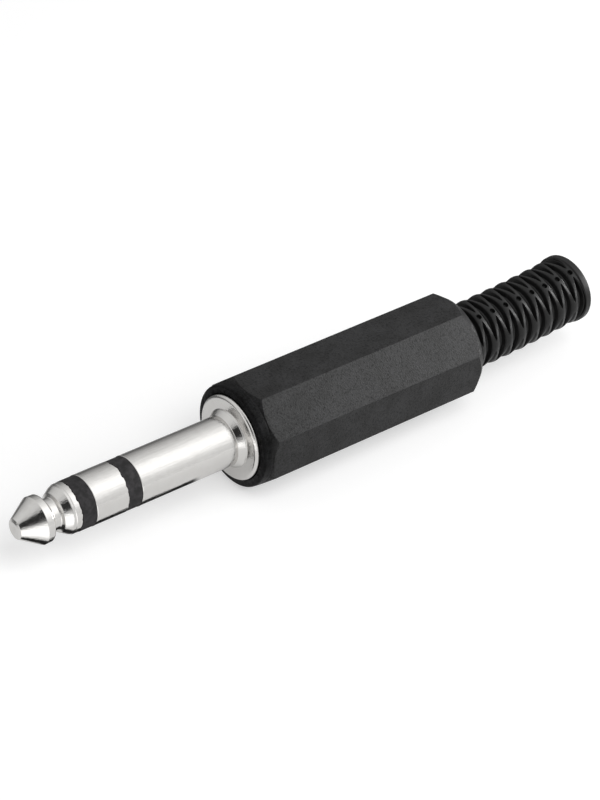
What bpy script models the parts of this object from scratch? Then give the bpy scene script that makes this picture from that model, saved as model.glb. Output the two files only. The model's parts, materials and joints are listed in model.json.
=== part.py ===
"""Stereo jack plug with a 6.35 mm barrel, an eight-sided screw-on handle and a slotted strain relief boot.

Metres, +Z up. The plug lies along X on one flat of its handle, tip towards -X and boot towards +X.
Every piece is modelled in the plug's own axis frame, where local Z is the distance behind the tip's end.
"""

import math

import bmesh
import bpy
from mathutils import Vector

MM = 0.001

# Contact barrel, the standard 6.35 mm three-contact pattern
BARREL_RADIUS = 3.175 * MM
SHOULDER_AT = 30.5 * MM
TIP_LENGTH = 7.4 * MM
INSULATOR_WIDTH = 2.0 * MM
RING_WIDTH = 4.43 * MM
INSULATOR_STEP = 0.05 * MM

# Tip contact: how far its head, neck and flange lie below the barrel's surface, and its rod
TIP_END_RADIUS = 1.23 * MM
TIP_HEAD_DROP = 0.225 * MM
TIP_CONE_LENGTH = 2.85 * MM
TIP_HEAD_LAND = 0.78 * MM
TIP_NECK_DROP = 1.175 * MM
TIP_NECK_AT = 5.15 * MM
TIP_RISE_DROP = 0.155 * MM
TIP_RISE_SETBACK = 0.85 * MM
TIP_FLANGE_DROP = 0.075 * MM
TIP_END_ROUND = 0.25 * MM
TIP_CONE_ROUND = 0.5 * MM
TIP_HEAD_ROUND = 0.4 * MM
TIP_NECK_ROUND = 0.6 * MM
TIP_RISE_ROUND = 0.7 * MM
TIP_ROD_RADIUS = 0.6 * MM
PEENED_HEAD_LENGTH = 0.5 * MM
PEENED_HEAD_GROWTH = 0.45 * MM

# Nested tubes inside the barrel: each wall, and the slack between one tube and the next
INSULATOR_WALL = 0.4 * MM
RING_TUBE_WALL = 0.5 * MM
FIT_GAP = 0.05 * MM
SEAT_GAP = 0.02 * MM

# Sleeve contact behind the barrel
FLARE_LENGTH = 1.3 * MM
FLARE_GROWTH = 0.28 * MM
FLARE_ROUND = 0.8 * MM
COLLAR_STEP = 0.82 * MM
COLLAR_THICKNESS = 1.55 * MM
COLLAR_EDGE = 0.16 * MM
SPIGOT_RADIUS = 4.6 * MM
SPIGOT_LENGTH = 6.4 * MM
SPIGOT_CHAMFER = 0.35 * MM
UNDERCUT_DEPTH = 0.4 * MM
UNDERCUT_WIDTH = 0.5 * MM
RIVET_BOSS_WALL = 0.65 * MM
RIVET_LIP_LENGTH = 0.35 * MM
RIVET_LIP_GROWTH = 0.35 * MM

# Stack of tags and washers behind the spigot
CLAMP_SHEET = 0.5 * MM
WASHER_THICKNESS = 0.6 * MM
WASHER_CLEARANCE = 0.21 * MM
LUG_SHEET = 0.4 * MM
LUG_TONGUE_WIDTH = 1.9 * MM
LUG_TONGUE_LENGTH = 5.2 * MM
LUG_TONGUE_INSET = 0.2 * MM
SPACER_CLEARANCE = 0.1 * MM
RING_LUG_INSET = 0.1 * MM
TIP_LUG_INSET = 0.7 * MM
LUG_EYE_RADIUS = 0.5 * MM
LUG_EYE_SETBACK = 1.1 * MM
RING_LUG_TURN = math.radians(140)
TIP_LUG_TURN = math.radians(40)

# Cable clamp, one blank rolled round the plug's axis
CLAMP_STEP = 0.15 * MM
CLAMP_BOOT_GAP = 4.0 * MM
CLAMP_BACK_HALF_ANGLE = math.radians(28)
CLAW_HALF_ANGLE = math.radians(112)
FRONT_CLAW_WIDTH = 2.4 * MM
REAR_CLAW_WIDTH = 3.0 * MM
CLAW_SPACING = 3.8 * MM
CLAMP_TURN = math.radians(270)
CLAMP_STRIP_INSET = 0.04 * MM
CLAMP_STRIP_SEAT = 0.3 * MM

# Handle
HANDLE_FLATS = 8
HANDLE_FRONT_WALL = 1.03 * MM
HANDLE_LENGTH = 34.35 * MM
COLLAR_PROUD = 0.55 * MM
HANDLE_FRONT_TURN_DEPTH = 0.15 * MM
HANDLE_FRONT_LAND = 0.5 * MM
HANDLE_FRONT_TURN_LENGTH = 1.45 * MM
HANDLE_REAR_TURN_DEPTH = 0.5 * MM
HANDLE_REAR_TURN_LENGTH = 1.7 * MM
HANDLE_TURN_OVERSIZE = 0.16 * MM
HANDLE_EDGE_ROUND = 0.25 * MM
COLLAR_CLEARANCE = 0.1 * MM
THREAD_CLEARANCE = 0.06 * MM
THREAD_OVERRUN = 0.7 * MM
THREAD_RELIEF = 0.49 * MM
HANDLE_REAR_WALL = 2.05 * MM

# Strain relief boot
BOOT_BORE_RADIUS = 3.4 * MM
BOOT_WALL = 0.93 * MM
BOOT_NECK_WALL = 0.7 * MM
BOOT_END_GROWTH = 0.15 * MM
BOOT_END_RING = 1.115 * MM
BOOT_EDGE_ROUND = 0.3 * MM
BOOT_BORE_ROUND = 0.1 * MM
BOOT_FLANGE_CLEARANCE = 0.25 * MM
BOOT_FLANGE_THICKNESS = 1.35 * MM
BOOT_ROWS = 16
BOOT_SLOTS_PER_ROW = 3
BOOT_ROW_PITCH = 1.127 * MM
BOOT_SLOT_WIDTH = 0.96 * MM
BOOT_SLOT_DRAFT = 0.44
BOOT_FIRST_ROW = 1.55 * MM
BOOT_BRIDGE_ANGLE = math.radians(16)
BOOT_FIRST_BRIDGE = math.radians(173)
BOOT_DIMPLE_RADIUS = 0.3 * MM
BOOT_DIMPLE_DEPTH = 0.4 * MM
BOOT_DIMPLE_TAPER = 0.75
BOOT_BEND_ANGLE = math.radians(4.6)
BOOT_BEND_TOWARDS = math.radians(45)

# Facets, and how far cutters reach past what they cut
ROUND_SIDES = 40
SMALL_SIDES = 24
BOOT_SIDES = 36
EYE_SIDES = 12
ARC_STEPS = 3
CLAW_STEPS = 9
CLAMP_BACK_STEPS = 3
DIMPLE_SIDES = 6
FILLET_SHARE = 0.48
SHARP_ANGLE = math.radians(35)
WELD = 1e-6
CUT_MARGIN = 1.0 * MM
BLADE_MARGIN = 0.25 * MM
AXIS_SYMBOL_SIZE = 5 * MM

# Places along the axis, measured from the tip's end
FRONT_BAND_END = TIP_LENGTH + INSULATOR_WIDTH
RING_END = FRONT_BAND_END + RING_WIDTH
REAR_BAND_END = RING_END + INSULATOR_WIDTH
COLLAR_END = SHOULDER_AT + COLLAR_THICKNESS
SPIGOT_END = COLLAR_END + SPIGOT_LENGTH
CLAMP_AT = SPIGOT_END + SEAT_GAP
RIVET_LIP_AT = CLAMP_AT + CLAMP_SHEET + SEAT_GAP
WASHER_AT = RIVET_LIP_AT + RIVET_LIP_LENGTH + SEAT_GAP
RING_LUG_AT = WASHER_AT + WASHER_THICKNESS + SEAT_GAP
RING_PEEN_AT = RING_LUG_AT + LUG_SHEET + SEAT_GAP
SPACER_AT = RING_PEEN_AT + PEENED_HEAD_LENGTH + SEAT_GAP
TIP_LUG_AT = SPACER_AT + WASHER_THICKNESS + SEAT_GAP
TIP_PEEN_AT = TIP_LUG_AT + LUG_SHEET + SEAT_GAP
HANDLE_AT = SHOULDER_AT + COLLAR_PROUD
HANDLE_END = HANDLE_AT + HANDLE_LENGTH
REAR_WALL_AT = HANDLE_END - HANDLE_REAR_WALL
BOOT_FLANGE_END = REAR_WALL_AT - SEAT_GAP
BOOT_FLANGE_AT = BOOT_FLANGE_END - BOOT_FLANGE_THICKNESS
BOOT_AT = HANDLE_END + FIT_GAP
LAST_SLOT_END = BOOT_AT + BOOT_FIRST_ROW + (BOOT_ROWS - 1) * BOOT_ROW_PITCH + BOOT_SLOT_WIDTH / 2
BOOT_END = LAST_SLOT_END + BOOT_END_RING
CLAMP_END = BOOT_FLANGE_AT - CLAMP_BOOT_GAP
REAR_CLAW_AT = CLAMP_END - REAR_CLAW_WIDTH
FRONT_CLAW_END = REAR_CLAW_AT - CLAW_SPACING

# Radii of the nested tubes, from the tip's rod outwards
FRONT_TUBE_BORE = TIP_ROD_RADIUS + FIT_GAP
FRONT_TUBE_RADIUS = FRONT_TUBE_BORE + INSULATOR_WALL
RING_TUBE_BORE = FRONT_TUBE_RADIUS + FIT_GAP
RING_TUBE_RADIUS = RING_TUBE_BORE + RING_TUBE_WALL
REAR_TUBE_BORE = RING_TUBE_RADIUS + FIT_GAP
REAR_TUBE_RADIUS = REAR_TUBE_BORE + INSULATOR_WALL
BARREL_BORE = REAR_TUBE_RADIUS + FIT_GAP
RIVET_BOSS_RADIUS = BARREL_BORE + RIVET_BOSS_WALL
INSULATOR_RADIUS = BARREL_RADIUS - INSULATOR_STEP
FLARE_RADIUS = BARREL_RADIUS + FLARE_GROWTH

# Radii of what fits in and round the handle, from the spigot outwards
COLLAR_RADIUS = SPIGOT_RADIUS + COLLAR_STEP
COLLAR_RECESS_RADIUS = COLLAR_RADIUS + COLLAR_CLEARANCE
THREAD_BORE = SPIGOT_RADIUS + THREAD_CLEARANCE
CAVITY_RADIUS = THREAD_BORE + THREAD_RELIEF
CLAMP_RADIUS = SPIGOT_RADIUS - CLAMP_STEP
CLAMP_STRIP_RADIUS = CLAMP_RADIUS - CLAMP_STRIP_INSET
WASHER_RADIUS = CLAMP_STRIP_RADIUS - CLAMP_SHEET - WASHER_CLEARANCE
LUG_TONGUE_HEIGHT = WASHER_RADIUS - LUG_TONGUE_INSET
SPACER_RADIUS = LUG_TONGUE_HEIGHT - LUG_SHEET - SPACER_CLEARANCE
RING_LUG_RADIUS = SPACER_RADIUS - RING_LUG_INSET
TIP_LUG_RADIUS = SPACER_RADIUS - TIP_LUG_INSET
HANDLE_ACROSS_FLATS = 2 * (COLLAR_RECESS_RADIUS + HANDLE_FRONT_WALL)
HANDLE_CORNER_RADIUS = HANDLE_ACROSS_FLATS / 2 / math.cos(math.pi / HANDLE_FLATS)
HANDLE_TURN_RADIUS = HANDLE_CORNER_RADIUS + HANDLE_TURN_OVERSIZE
HANDLE_FRONT_RADIUS = HANDLE_ACROSS_FLATS / 2 - HANDLE_FRONT_TURN_DEPTH
HANDLE_REAR_RADIUS = HANDLE_ACROSS_FLATS / 2 - HANDLE_REAR_TURN_DEPTH
BOOT_RADIUS = BOOT_BORE_RADIUS + BOOT_WALL
BOOT_END_RADIUS = BOOT_RADIUS + BOOT_END_GROWTH
BOOT_NECK_RADIUS = BOOT_BORE_RADIUS + BOOT_NECK_WALL
BOOT_FLANGE_RADIUS = CAVITY_RADIUS - BOOT_FLANGE_CLEARANCE
BOOT_HOLE_RADIUS = BOOT_NECK_RADIUS + FIT_GAP

# Mould blades that leave the boot's slots: a slot ends where the blade's flat tip comes out of the surface
ROW_TURN = 2 * math.pi / BOOT_SLOTS_PER_ROW
BLADE_HALF_ANGLE = (ROW_TURN - BOOT_BRIDGE_ANGLE) / 2
BLADE_TIP_HEIGHT = BOOT_RADIUS * math.cos(BLADE_HALF_ANGLE)
BLADE_ROOT_HEIGHT = BOOT_RADIUS + BLADE_MARGIN
BLADE_HALF_SPAN = BOOT_RADIUS * math.sin(BLADE_HALF_ANGLE) + BLADE_MARGIN

# The whole plug is centred on X = 0, bent boot included
BOOT_BEND_RADIUS = (BOOT_END - BOOT_AT) / BOOT_BEND_ANGLE
BOOT_REACH = (BOOT_BEND_RADIUS + BOOT_END_RADIUS) * math.sin(BOOT_BEND_ANGLE)
OVERALL_LENGTH = BOOT_AT + BOOT_REACH
AXIS_HEIGHT = HANDLE_ACROSS_FLATS / 2

NICKEL = ((0.60, 0.58, 0.56, 1), 0.2, 1.0)
BRASS_TAG = ((0.62, 0.59, 0.52, 1), 0.35, 1.0)
BAND_PLASTIC = ((0.033, 0.031, 0.033, 1), 0.55, 0.0)
WASHER_FIBRE = ((0.16, 0.07, 0.03, 1), 0.8, 0.0)
HANDLE_PLASTIC = ((0.036, 0.036, 0.037, 1), 0.6, 0.0)
BOOT_PLASTIC = ((0.012, 0.012, 0.012, 1), 0.4, 0.0)


def clear_scene():
    for obj in list(bpy.data.objects):
        bpy.data.objects.remove(obj, do_unlink=True)
    for collection in list(bpy.data.collections):
        bpy.data.collections.remove(collection)


def new_collection(name):
    collection = bpy.data.collections.new(name)
    bpy.context.scene.collection.children.link(collection)
    return collection


def new_material(name, look):
    colour, roughness, metallic = look
    material = bpy.data.materials.new(name)
    material.use_nodes = True
    shader = material.node_tree.nodes["Principled BSDF"]
    shader.inputs["Base Color"].default_value = colour
    shader.inputs["Roughness"].default_value = roughness
    shader.inputs["Metallic"].default_value = metallic
    material.diffuse_color = colour
    return material


def across(turn, radius):
    """Local X and Y of a point round the axis; turn runs from the world's +Y towards +Z."""
    return -radius * math.sin(turn), radius * math.cos(turn)


def rounded(corners, closed):
    """A profile with each corner (place, radius, fillet) replaced by an arc, kept within its own sides."""
    points = []
    count = len(corners)
    for i, (place, radius, fillet) in enumerate(corners):
        corner = Vector((radius, place))
        if fillet == 0 or (not closed and i in (0, count - 1)):
            points.append(corner)
            continue
        before = Vector((corners[i - 1][1], corners[i - 1][0])) - corner
        after = Vector((corners[(i + 1) % count][1], corners[(i + 1) % count][0])) - corner
        half = before.angle(after) / 2
        room = FILLET_SHARE * min(before.length, after.length)
        reach = min(fillet / math.tan(half), room)
        arc_radius = reach * math.tan(half)
        centre = corner + (before.normalized() + after.normalized()).normalized() * arc_radius / math.sin(half)
        start = corner + before.normalized() * reach - centre
        end = corner + after.normalized() * reach - centre
        first = math.atan2(start.y, start.x)
        sweep = math.remainder(math.atan2(end.y, end.x) - first, 2 * math.pi)
        for step in range(ARC_STEPS + 1):
            angle = first + sweep * step / ARC_STEPS
            points.append(centre + arc_radius * Vector((math.cos(angle), math.sin(angle))))
    return points


def turned(name, corners, sides, collection, closed=False):
    """A solid turned round local Z. Corners run rearwards along the outside, then back along any bore."""
    points = rounded(corners, closed)
    points.reverse()
    count = len(points)
    edges = [(i, i + 1) for i in range(count - 1)]
    if closed:
        edges.append((count - 1, 0))
    mesh = bpy.data.meshes.new(name)
    mesh.from_pydata([(p.x, 0, p.y) for p in points], edges, [])
    obj = bpy.data.objects.new(name, mesh)
    collection.objects.link(obj)
    screw = obj.modifiers.new("turn", "SCREW")
    screw.axis = "Z"
    screw.angle = 2 * math.pi
    screw.screw_offset = 0
    screw.steps = sides
    screw.render_steps = sides
    screw.use_merge_vertices = True
    screw.merge_threshold = WELD
    screw.use_smooth_shade = True
    return obj


def finish(obj, look):
    obj.data.materials.clear()
    obj.data.materials.append(new_material(obj.name, look))
    obj.parent = bpy.data.objects["plug_axis"]
    return obj


def as_cutter(obj):
    obj.hide_render = True
    obj.display_type = "WIRE"
    obj.parent = bpy.data.objects["plug_axis"]
    return obj


def add_boolean(obj, operation, other):
    boolean = obj.modifiers.new(operation.lower(), "BOOLEAN")
    boolean.operation = operation
    boolean.solver = "EXACT"
    boolean.object = other


def extruded(name, outline, depth, collection):
    """A flat outline of 3-D points, given a thickness along the vector depth."""
    bm = bmesh.new()
    face = bm.faces.new([bm.verts.new(p) for p in outline])
    grown = bmesh.ops.extrude_face_region(bm, geom=[face])["geom"]
    bmesh.ops.translate(bm, vec=depth, verts=[g for g in grown if isinstance(g, bmesh.types.BMVert)])
    bmesh.ops.recalc_face_normals(bm, faces=bm.faces)
    mesh = bpy.data.meshes.new(name)
    bm.to_mesh(mesh)
    bm.free()
    obj = bpy.data.objects.new(name, mesh)
    collection.objects.link(obj)
    return obj


def peened(place, tube_radius, bore):
    """Profile corners of a tube's end spread over the piece that it holds, from its seat to its bore."""
    lip = tube_radius + PEENED_HEAD_GROWTH
    return [
        (place, tube_radius, 0),
        (place, lip, 0),
        (place + PEENED_HEAD_LENGTH / 2, lip, 0),
        (place + PEENED_HEAD_LENGTH, tube_radius + PEENED_HEAD_GROWTH / 2, 0),
        (place + PEENED_HEAD_LENGTH, bore, 0),
    ]


def make_tip_contact(parts):
    head = BARREL_RADIUS - TIP_HEAD_DROP
    flange = BARREL_RADIUS - TIP_FLANGE_DROP
    corners = [
        (0, 0, 0),
        (0, TIP_END_RADIUS, TIP_END_ROUND),
        (TIP_CONE_LENGTH, head, TIP_CONE_ROUND),
        (TIP_CONE_LENGTH + TIP_HEAD_LAND, head, TIP_HEAD_ROUND),
        (TIP_NECK_AT, BARREL_RADIUS - TIP_NECK_DROP, TIP_NECK_ROUND),
        (TIP_LENGTH - TIP_RISE_SETBACK, BARREL_RADIUS - TIP_RISE_DROP, TIP_RISE_ROUND),
        (TIP_LENGTH - SEAT_GAP, flange, 0),
        (TIP_LENGTH - SEAT_GAP, TIP_ROD_RADIUS, 0),
    ]
    corners += peened(TIP_PEEN_AT, TIP_ROD_RADIUS, 0)
    return finish(turned("tip_contact", corners, ROUND_SIDES, parts), NICKEL)


def make_insulator(name, start, bore, tube_radius, tube_end, parts):
    """A black band with the thin tube that runs back from it."""
    corners = [
        (start, bore, 0),
        (start, INSULATOR_RADIUS, 0),
        (start + INSULATOR_WIDTH - SEAT_GAP, INSULATOR_RADIUS, 0),
        (start + INSULATOR_WIDTH - SEAT_GAP, tube_radius, 0),
        (tube_end, tube_radius, 0),
        (tube_end, bore, 0),
    ]
    return finish(turned(name, corners, ROUND_SIDES, parts, closed=True), BAND_PLASTIC)


def make_ring_contact(parts):
    corners = [
        (FRONT_BAND_END, RING_TUBE_BORE, 0),
        (FRONT_BAND_END, BARREL_RADIUS, 0),
        (RING_END - SEAT_GAP, BARREL_RADIUS, 0),
        (RING_END - SEAT_GAP, RING_TUBE_RADIUS, 0),
    ]
    corners += peened(RING_PEEN_AT, RING_TUBE_RADIUS, RING_TUBE_BORE)
    return finish(turned("ring_contact", corners, ROUND_SIDES, parts, closed=True), NICKEL)


def make_sleeve_contact(parts):
    undercut_radius = SPIGOT_RADIUS - UNDERCUT_DEPTH
    undercut_end = COLLAR_END + UNDERCUT_WIDTH
    lip_end = RIVET_LIP_AT + RIVET_LIP_LENGTH
    corners = [
        (REAR_BAND_END, BARREL_BORE, 0),
        (REAR_BAND_END, BARREL_RADIUS, 0),
        (SHOULDER_AT - FLARE_LENGTH, BARREL_RADIUS, FLARE_ROUND),
        (SHOULDER_AT, FLARE_RADIUS, 0),
        (SHOULDER_AT, COLLAR_RADIUS, COLLAR_EDGE),
        (COLLAR_END, COLLAR_RADIUS, 0),
        (COLLAR_END, undercut_radius, 0),
        (undercut_end, undercut_radius, 0),
        (undercut_end + UNDERCUT_DEPTH, SPIGOT_RADIUS, 0),
        (SPIGOT_END - SPIGOT_CHAMFER, SPIGOT_RADIUS, 0),
        (SPIGOT_END, SPIGOT_RADIUS - SPIGOT_CHAMFER, 0),
        (SPIGOT_END, RIVET_BOSS_RADIUS, 0),
        (RIVET_LIP_AT, RIVET_BOSS_RADIUS, 0),
        (RIVET_LIP_AT, RIVET_BOSS_RADIUS + RIVET_LIP_GROWTH, 0),
        (lip_end, RIVET_BOSS_RADIUS + RIVET_LIP_GROWTH, 0),
        (lip_end, BARREL_BORE, 0),
    ]
    return finish(turned("sleeve_contact", corners, ROUND_SIDES, parts, closed=True), NICKEL)


def make_washer(name, place, bore, radius, parts):
    corners = [
        (place, bore, 0),
        (place, radius, 0),
        (place + WASHER_THICKNESS, radius, 0),
        (place + WASHER_THICKNESS, bore, 0),
    ]
    return finish(turned(name, corners, SMALL_SIDES, parts, closed=True), WASHER_FIBRE)


def make_lug(name, place, bore, radius, turn, parts, cutters):
    """A solder tag: a disc round the tube it touches, with a tongue bent back and pierced for the wire."""
    corners = [(place, bore, 0), (place, radius, 0), (place + LUG_SHEET, radius, 0), (place + LUG_SHEET, bore, 0)]
    lug = turned(name, corners, SMALL_SIDES, parts, closed=True)
    root = (bore + radius) / 2
    tongue_end = place + LUG_TONGUE_LENGTH
    side = Vector((*across(turn + math.pi / 2, LUG_TONGUE_WIDTH / 2), 0))

    def point(away, along):
        return Vector((*across(turn, away), along)) - side

    outline = [
        point(root, place),
        point(LUG_TONGUE_HEIGHT, place),
        point(LUG_TONGUE_HEIGHT, tongue_end),
        point(LUG_TONGUE_HEIGHT - LUG_SHEET, tongue_end),
        point(LUG_TONGUE_HEIGHT - LUG_SHEET, place + LUG_SHEET),
        point(root, place + LUG_SHEET),
    ]
    tongue = as_cutter(extruded(name + "_tongue", outline, 2 * side, cutters))
    add_boolean(lug, "UNION", tongue)
    bpy.ops.mesh.primitive_cylinder_add(vertices=EYE_SIDES, radius=LUG_EYE_RADIUS, depth=2 * CUT_MARGIN)
    eye = bpy.context.object
    eye.name = name + "_eye"
    eye.rotation_euler = Vector((*across(turn, 1), 0)).to_track_quat("Z", "Y").to_euler()
    eye.location = (*across(turn, LUG_TONGUE_HEIGHT), tongue_end - LUG_EYE_SETBACK)
    move_to(eye, cutters)
    add_boolean(lug, "DIFFERENCE", as_cutter(eye))
    return finish(lug, BRASS_TAG)


def move_to(obj, collection):
    for holder in list(obj.users_collection):
        holder.objects.unlink(obj)
    collection.objects.link(obj)


def make_cable_clamp(parts, cutters):
    """The earth tag: a pierced plate on the rivet boss, and a back strip with two pairs of claws."""
    plate_corners = [
        (CLAMP_AT, RIVET_BOSS_RADIUS + FIT_GAP, 0),
        (CLAMP_AT, CLAMP_RADIUS, 0),
        (CLAMP_AT + CLAMP_SHEET, CLAMP_RADIUS, 0),
        (CLAMP_AT + CLAMP_SHEET, RIVET_BOSS_RADIUS + FIT_GAP, 0),
    ]
    clamp = turned("cable_clamp", plate_corners, ROUND_SIDES, parts, closed=True)
    strip_at = CLAMP_AT + CLAMP_SHEET - CLAMP_STRIP_SEAT
    places = [strip_at, FRONT_CLAW_END - FRONT_CLAW_WIDTH, FRONT_CLAW_END, REAR_CLAW_AT, CLAMP_END]
    wide = [False, True, False, True]
    claw_angles = [
        CLAMP_BACK_HALF_ANGLE + (CLAW_HALF_ANGLE - CLAMP_BACK_HALF_ANGLE) * i / CLAW_STEPS
        for i in range(CLAW_STEPS + 1)
    ]
    back_angles = [
        CLAMP_BACK_HALF_ANGLE * i / CLAMP_BACK_STEPS
        for i in range(1 - CLAMP_BACK_STEPS, CLAMP_BACK_STEPS)
    ]
    angles = [-a for a in reversed(claw_angles)] + back_angles + claw_angles
    bm = bmesh.new()
    rows = []
    for place in places:
        rows.append([bm.verts.new((*across(CLAMP_TURN + a, CLAMP_STRIP_RADIUS), place)) for a in angles])
    for row, is_wide in enumerate(wide):
        for column in range(len(angles) - 1):
            middle = abs(angles[column] + angles[column + 1]) / 2
            if is_wide or middle < CLAMP_BACK_HALF_ANGLE:
                bm.faces.new([
                    rows[row][column],
                    rows[row][column + 1],
                    rows[row + 1][column + 1],
                    rows[row + 1][column],
                ])
    bmesh.ops.delete(bm, geom=[v for v in bm.verts if not v.link_faces], context="VERTS")
    mesh = bpy.data.meshes.new("clamp_strip")
    bm.to_mesh(mesh)
    bm.free()
    strip = bpy.data.objects.new("clamp_strip", mesh)
    cutters.objects.link(strip)
    sheet = strip.modifiers.new("sheet", "SOLIDIFY")
    sheet.thickness = CLAMP_SHEET
    sheet.offset = -1
    sheet.use_even_offset = True
    add_boolean(clamp, "UNION", as_cutter(strip))
    return finish(clamp, BRASS_TAG)


def make_handle(parts, cutters):
    """An eight-sided bar, turned to shape at both ends and bored for the collar, spigot, wiring and boot."""
    bpy.ops.mesh.primitive_cylinder_add(
        vertices=HANDLE_FLATS,
        radius=HANDLE_CORNER_RADIUS,
        depth=HANDLE_LENGTH + 2 * CUT_MARGIN,
        location=(0, 0, HANDLE_AT + HANDLE_LENGTH / 2),
        rotation=(0, 0, math.pi / HANDLE_FLATS),
    )
    handle = bpy.context.object
    handle.name = "handle"
    handle.data.name = "handle"
    handle.data.transform(handle.matrix_world)
    handle.matrix_world.identity()
    handle.location = (0, 0, 0)
    handle.rotation_euler = (0, 0, 0)
    move_to(handle, parts)

    envelope = turned("handle_envelope", [
        (HANDLE_AT, 0, 0),
        (HANDLE_AT, HANDLE_FRONT_RADIUS, HANDLE_EDGE_ROUND),
        (HANDLE_AT + HANDLE_FRONT_LAND, HANDLE_FRONT_RADIUS, 0),
        (HANDLE_AT + HANDLE_FRONT_LAND + HANDLE_FRONT_TURN_LENGTH, HANDLE_TURN_RADIUS, 0),
        (HANDLE_END - HANDLE_REAR_TURN_LENGTH, HANDLE_TURN_RADIUS, 0),
        (HANDLE_END, HANDLE_REAR_RADIUS, HANDLE_EDGE_ROUND),
        (HANDLE_END, 0, 0),
    ], ROUND_SIDES, cutters)
    add_boolean(handle, "INTERSECT", as_cutter(envelope))

    recess_floor = COLLAR_END + SEAT_GAP
    thread_end = recess_floor + SPIGOT_LENGTH + THREAD_OVERRUN
    bore = turned("handle_bore", [
        (HANDLE_AT - CUT_MARGIN, 0, 0),
        (HANDLE_AT - CUT_MARGIN, COLLAR_RECESS_RADIUS, 0),
        (recess_floor, COLLAR_RECESS_RADIUS, 0),
        (recess_floor, THREAD_BORE, 0),
        (thread_end, THREAD_BORE, 0),
        (thread_end + THREAD_RELIEF, CAVITY_RADIUS, 0),
        (REAR_WALL_AT, CAVITY_RADIUS, 0),
        (REAR_WALL_AT, BOOT_HOLE_RADIUS, 0),
        (HANDLE_END + CUT_MARGIN, BOOT_HOLE_RADIUS, 0),
        (HANDLE_END + CUT_MARGIN, 0, 0),
    ], ROUND_SIDES, cutters)
    add_boolean(handle, "DIFFERENCE", as_cutter(bore))
    return finish(handle, HANDLE_PLASTIC)


def add_blade(bm, place, turn):
    """A flat mould blade that points at the axis. Its draft makes it thinner towards its tip."""
    for vert in bmesh.ops.create_cube(bm, size=2)["verts"]:
        height = BLADE_ROOT_HEIGHT if vert.co.x > 0 else BLADE_TIP_HEIGHT
        width = BOOT_SLOT_WIDTH - BOOT_SLOT_DRAFT * (BOOT_RADIUS - height)
        outwards = Vector((*across(turn, height), place))
        sideways = Vector((*across(turn + math.pi / 2, vert.co.y * BLADE_HALF_SPAN), 0))
        vert.co = outwards + sideways + Vector((0, 0, vert.co.z * width / 2))


def add_dimple(bm, place, turn):
    """A tapered pin that leaves a round dimple in the middle of a bridge."""
    pin = bmesh.ops.create_cone(
        bm,
        cap_ends=True,
        segments=DIMPLE_SIDES,
        radius1=BOOT_DIMPLE_RADIUS * BOOT_DIMPLE_TAPER,
        radius2=BOOT_DIMPLE_RADIUS / BOOT_DIMPLE_TAPER,
        depth=2 * BOOT_DIMPLE_DEPTH,
    )["verts"]
    outwards = Vector((*across(turn, 1), 0))
    pose = outwards.to_track_quat("Z", "Y").to_matrix().to_4x4()
    pose.translation = BOOT_RADIUS * outwards + Vector((0, 0, place))
    bmesh.ops.transform(bm, matrix=pose, verts=pin)


def make_boot_cutter(first_row, cutters):
    """The blades of every other row. Bridges in one row stand over the middles of the slots in the next."""
    bm = bmesh.new()
    for row in range(first_row, BOOT_ROWS, 2):
        place = BOOT_AT + BOOT_FIRST_ROW + row * BOOT_ROW_PITCH
        for slot in range(BOOT_SLOTS_PER_ROW):
            bridge = BOOT_FIRST_BRIDGE + first_row * ROW_TURN / 2 + slot * ROW_TURN
            add_blade(bm, place, bridge + ROW_TURN / 2)
            if first_row > 0:
                add_dimple(bm, place, bridge)
    bmesh.ops.recalc_face_normals(bm, faces=bm.faces)
    mesh = bpy.data.meshes.new("boot_blades")
    bm.to_mesh(mesh)
    bm.free()
    blades = bpy.data.objects.new("boot_blades", mesh)
    cutters.objects.link(blades)
    return as_cutter(blades)


def bend(point):
    """Moves a point of the straight boot onto the arc that its exposed length lies along."""
    along = point.z - BOOT_AT
    if along <= 0:
        return point
    lean = Vector((*across(BOOT_BEND_TOWARDS, 1), 0))
    turn = along / BOOT_BEND_RADIUS
    off = point.x * lean.x + point.y * lean.y
    flat = Vector((point.x, point.y, 0)) - off * lean
    height = BOOT_BEND_RADIUS * (1 - math.cos(turn)) + off * math.cos(turn)
    place = BOOT_AT + BOOT_BEND_RADIUS * math.sin(turn) - off * math.sin(turn)
    return flat + height * lean + Vector((0, 0, place))


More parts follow.
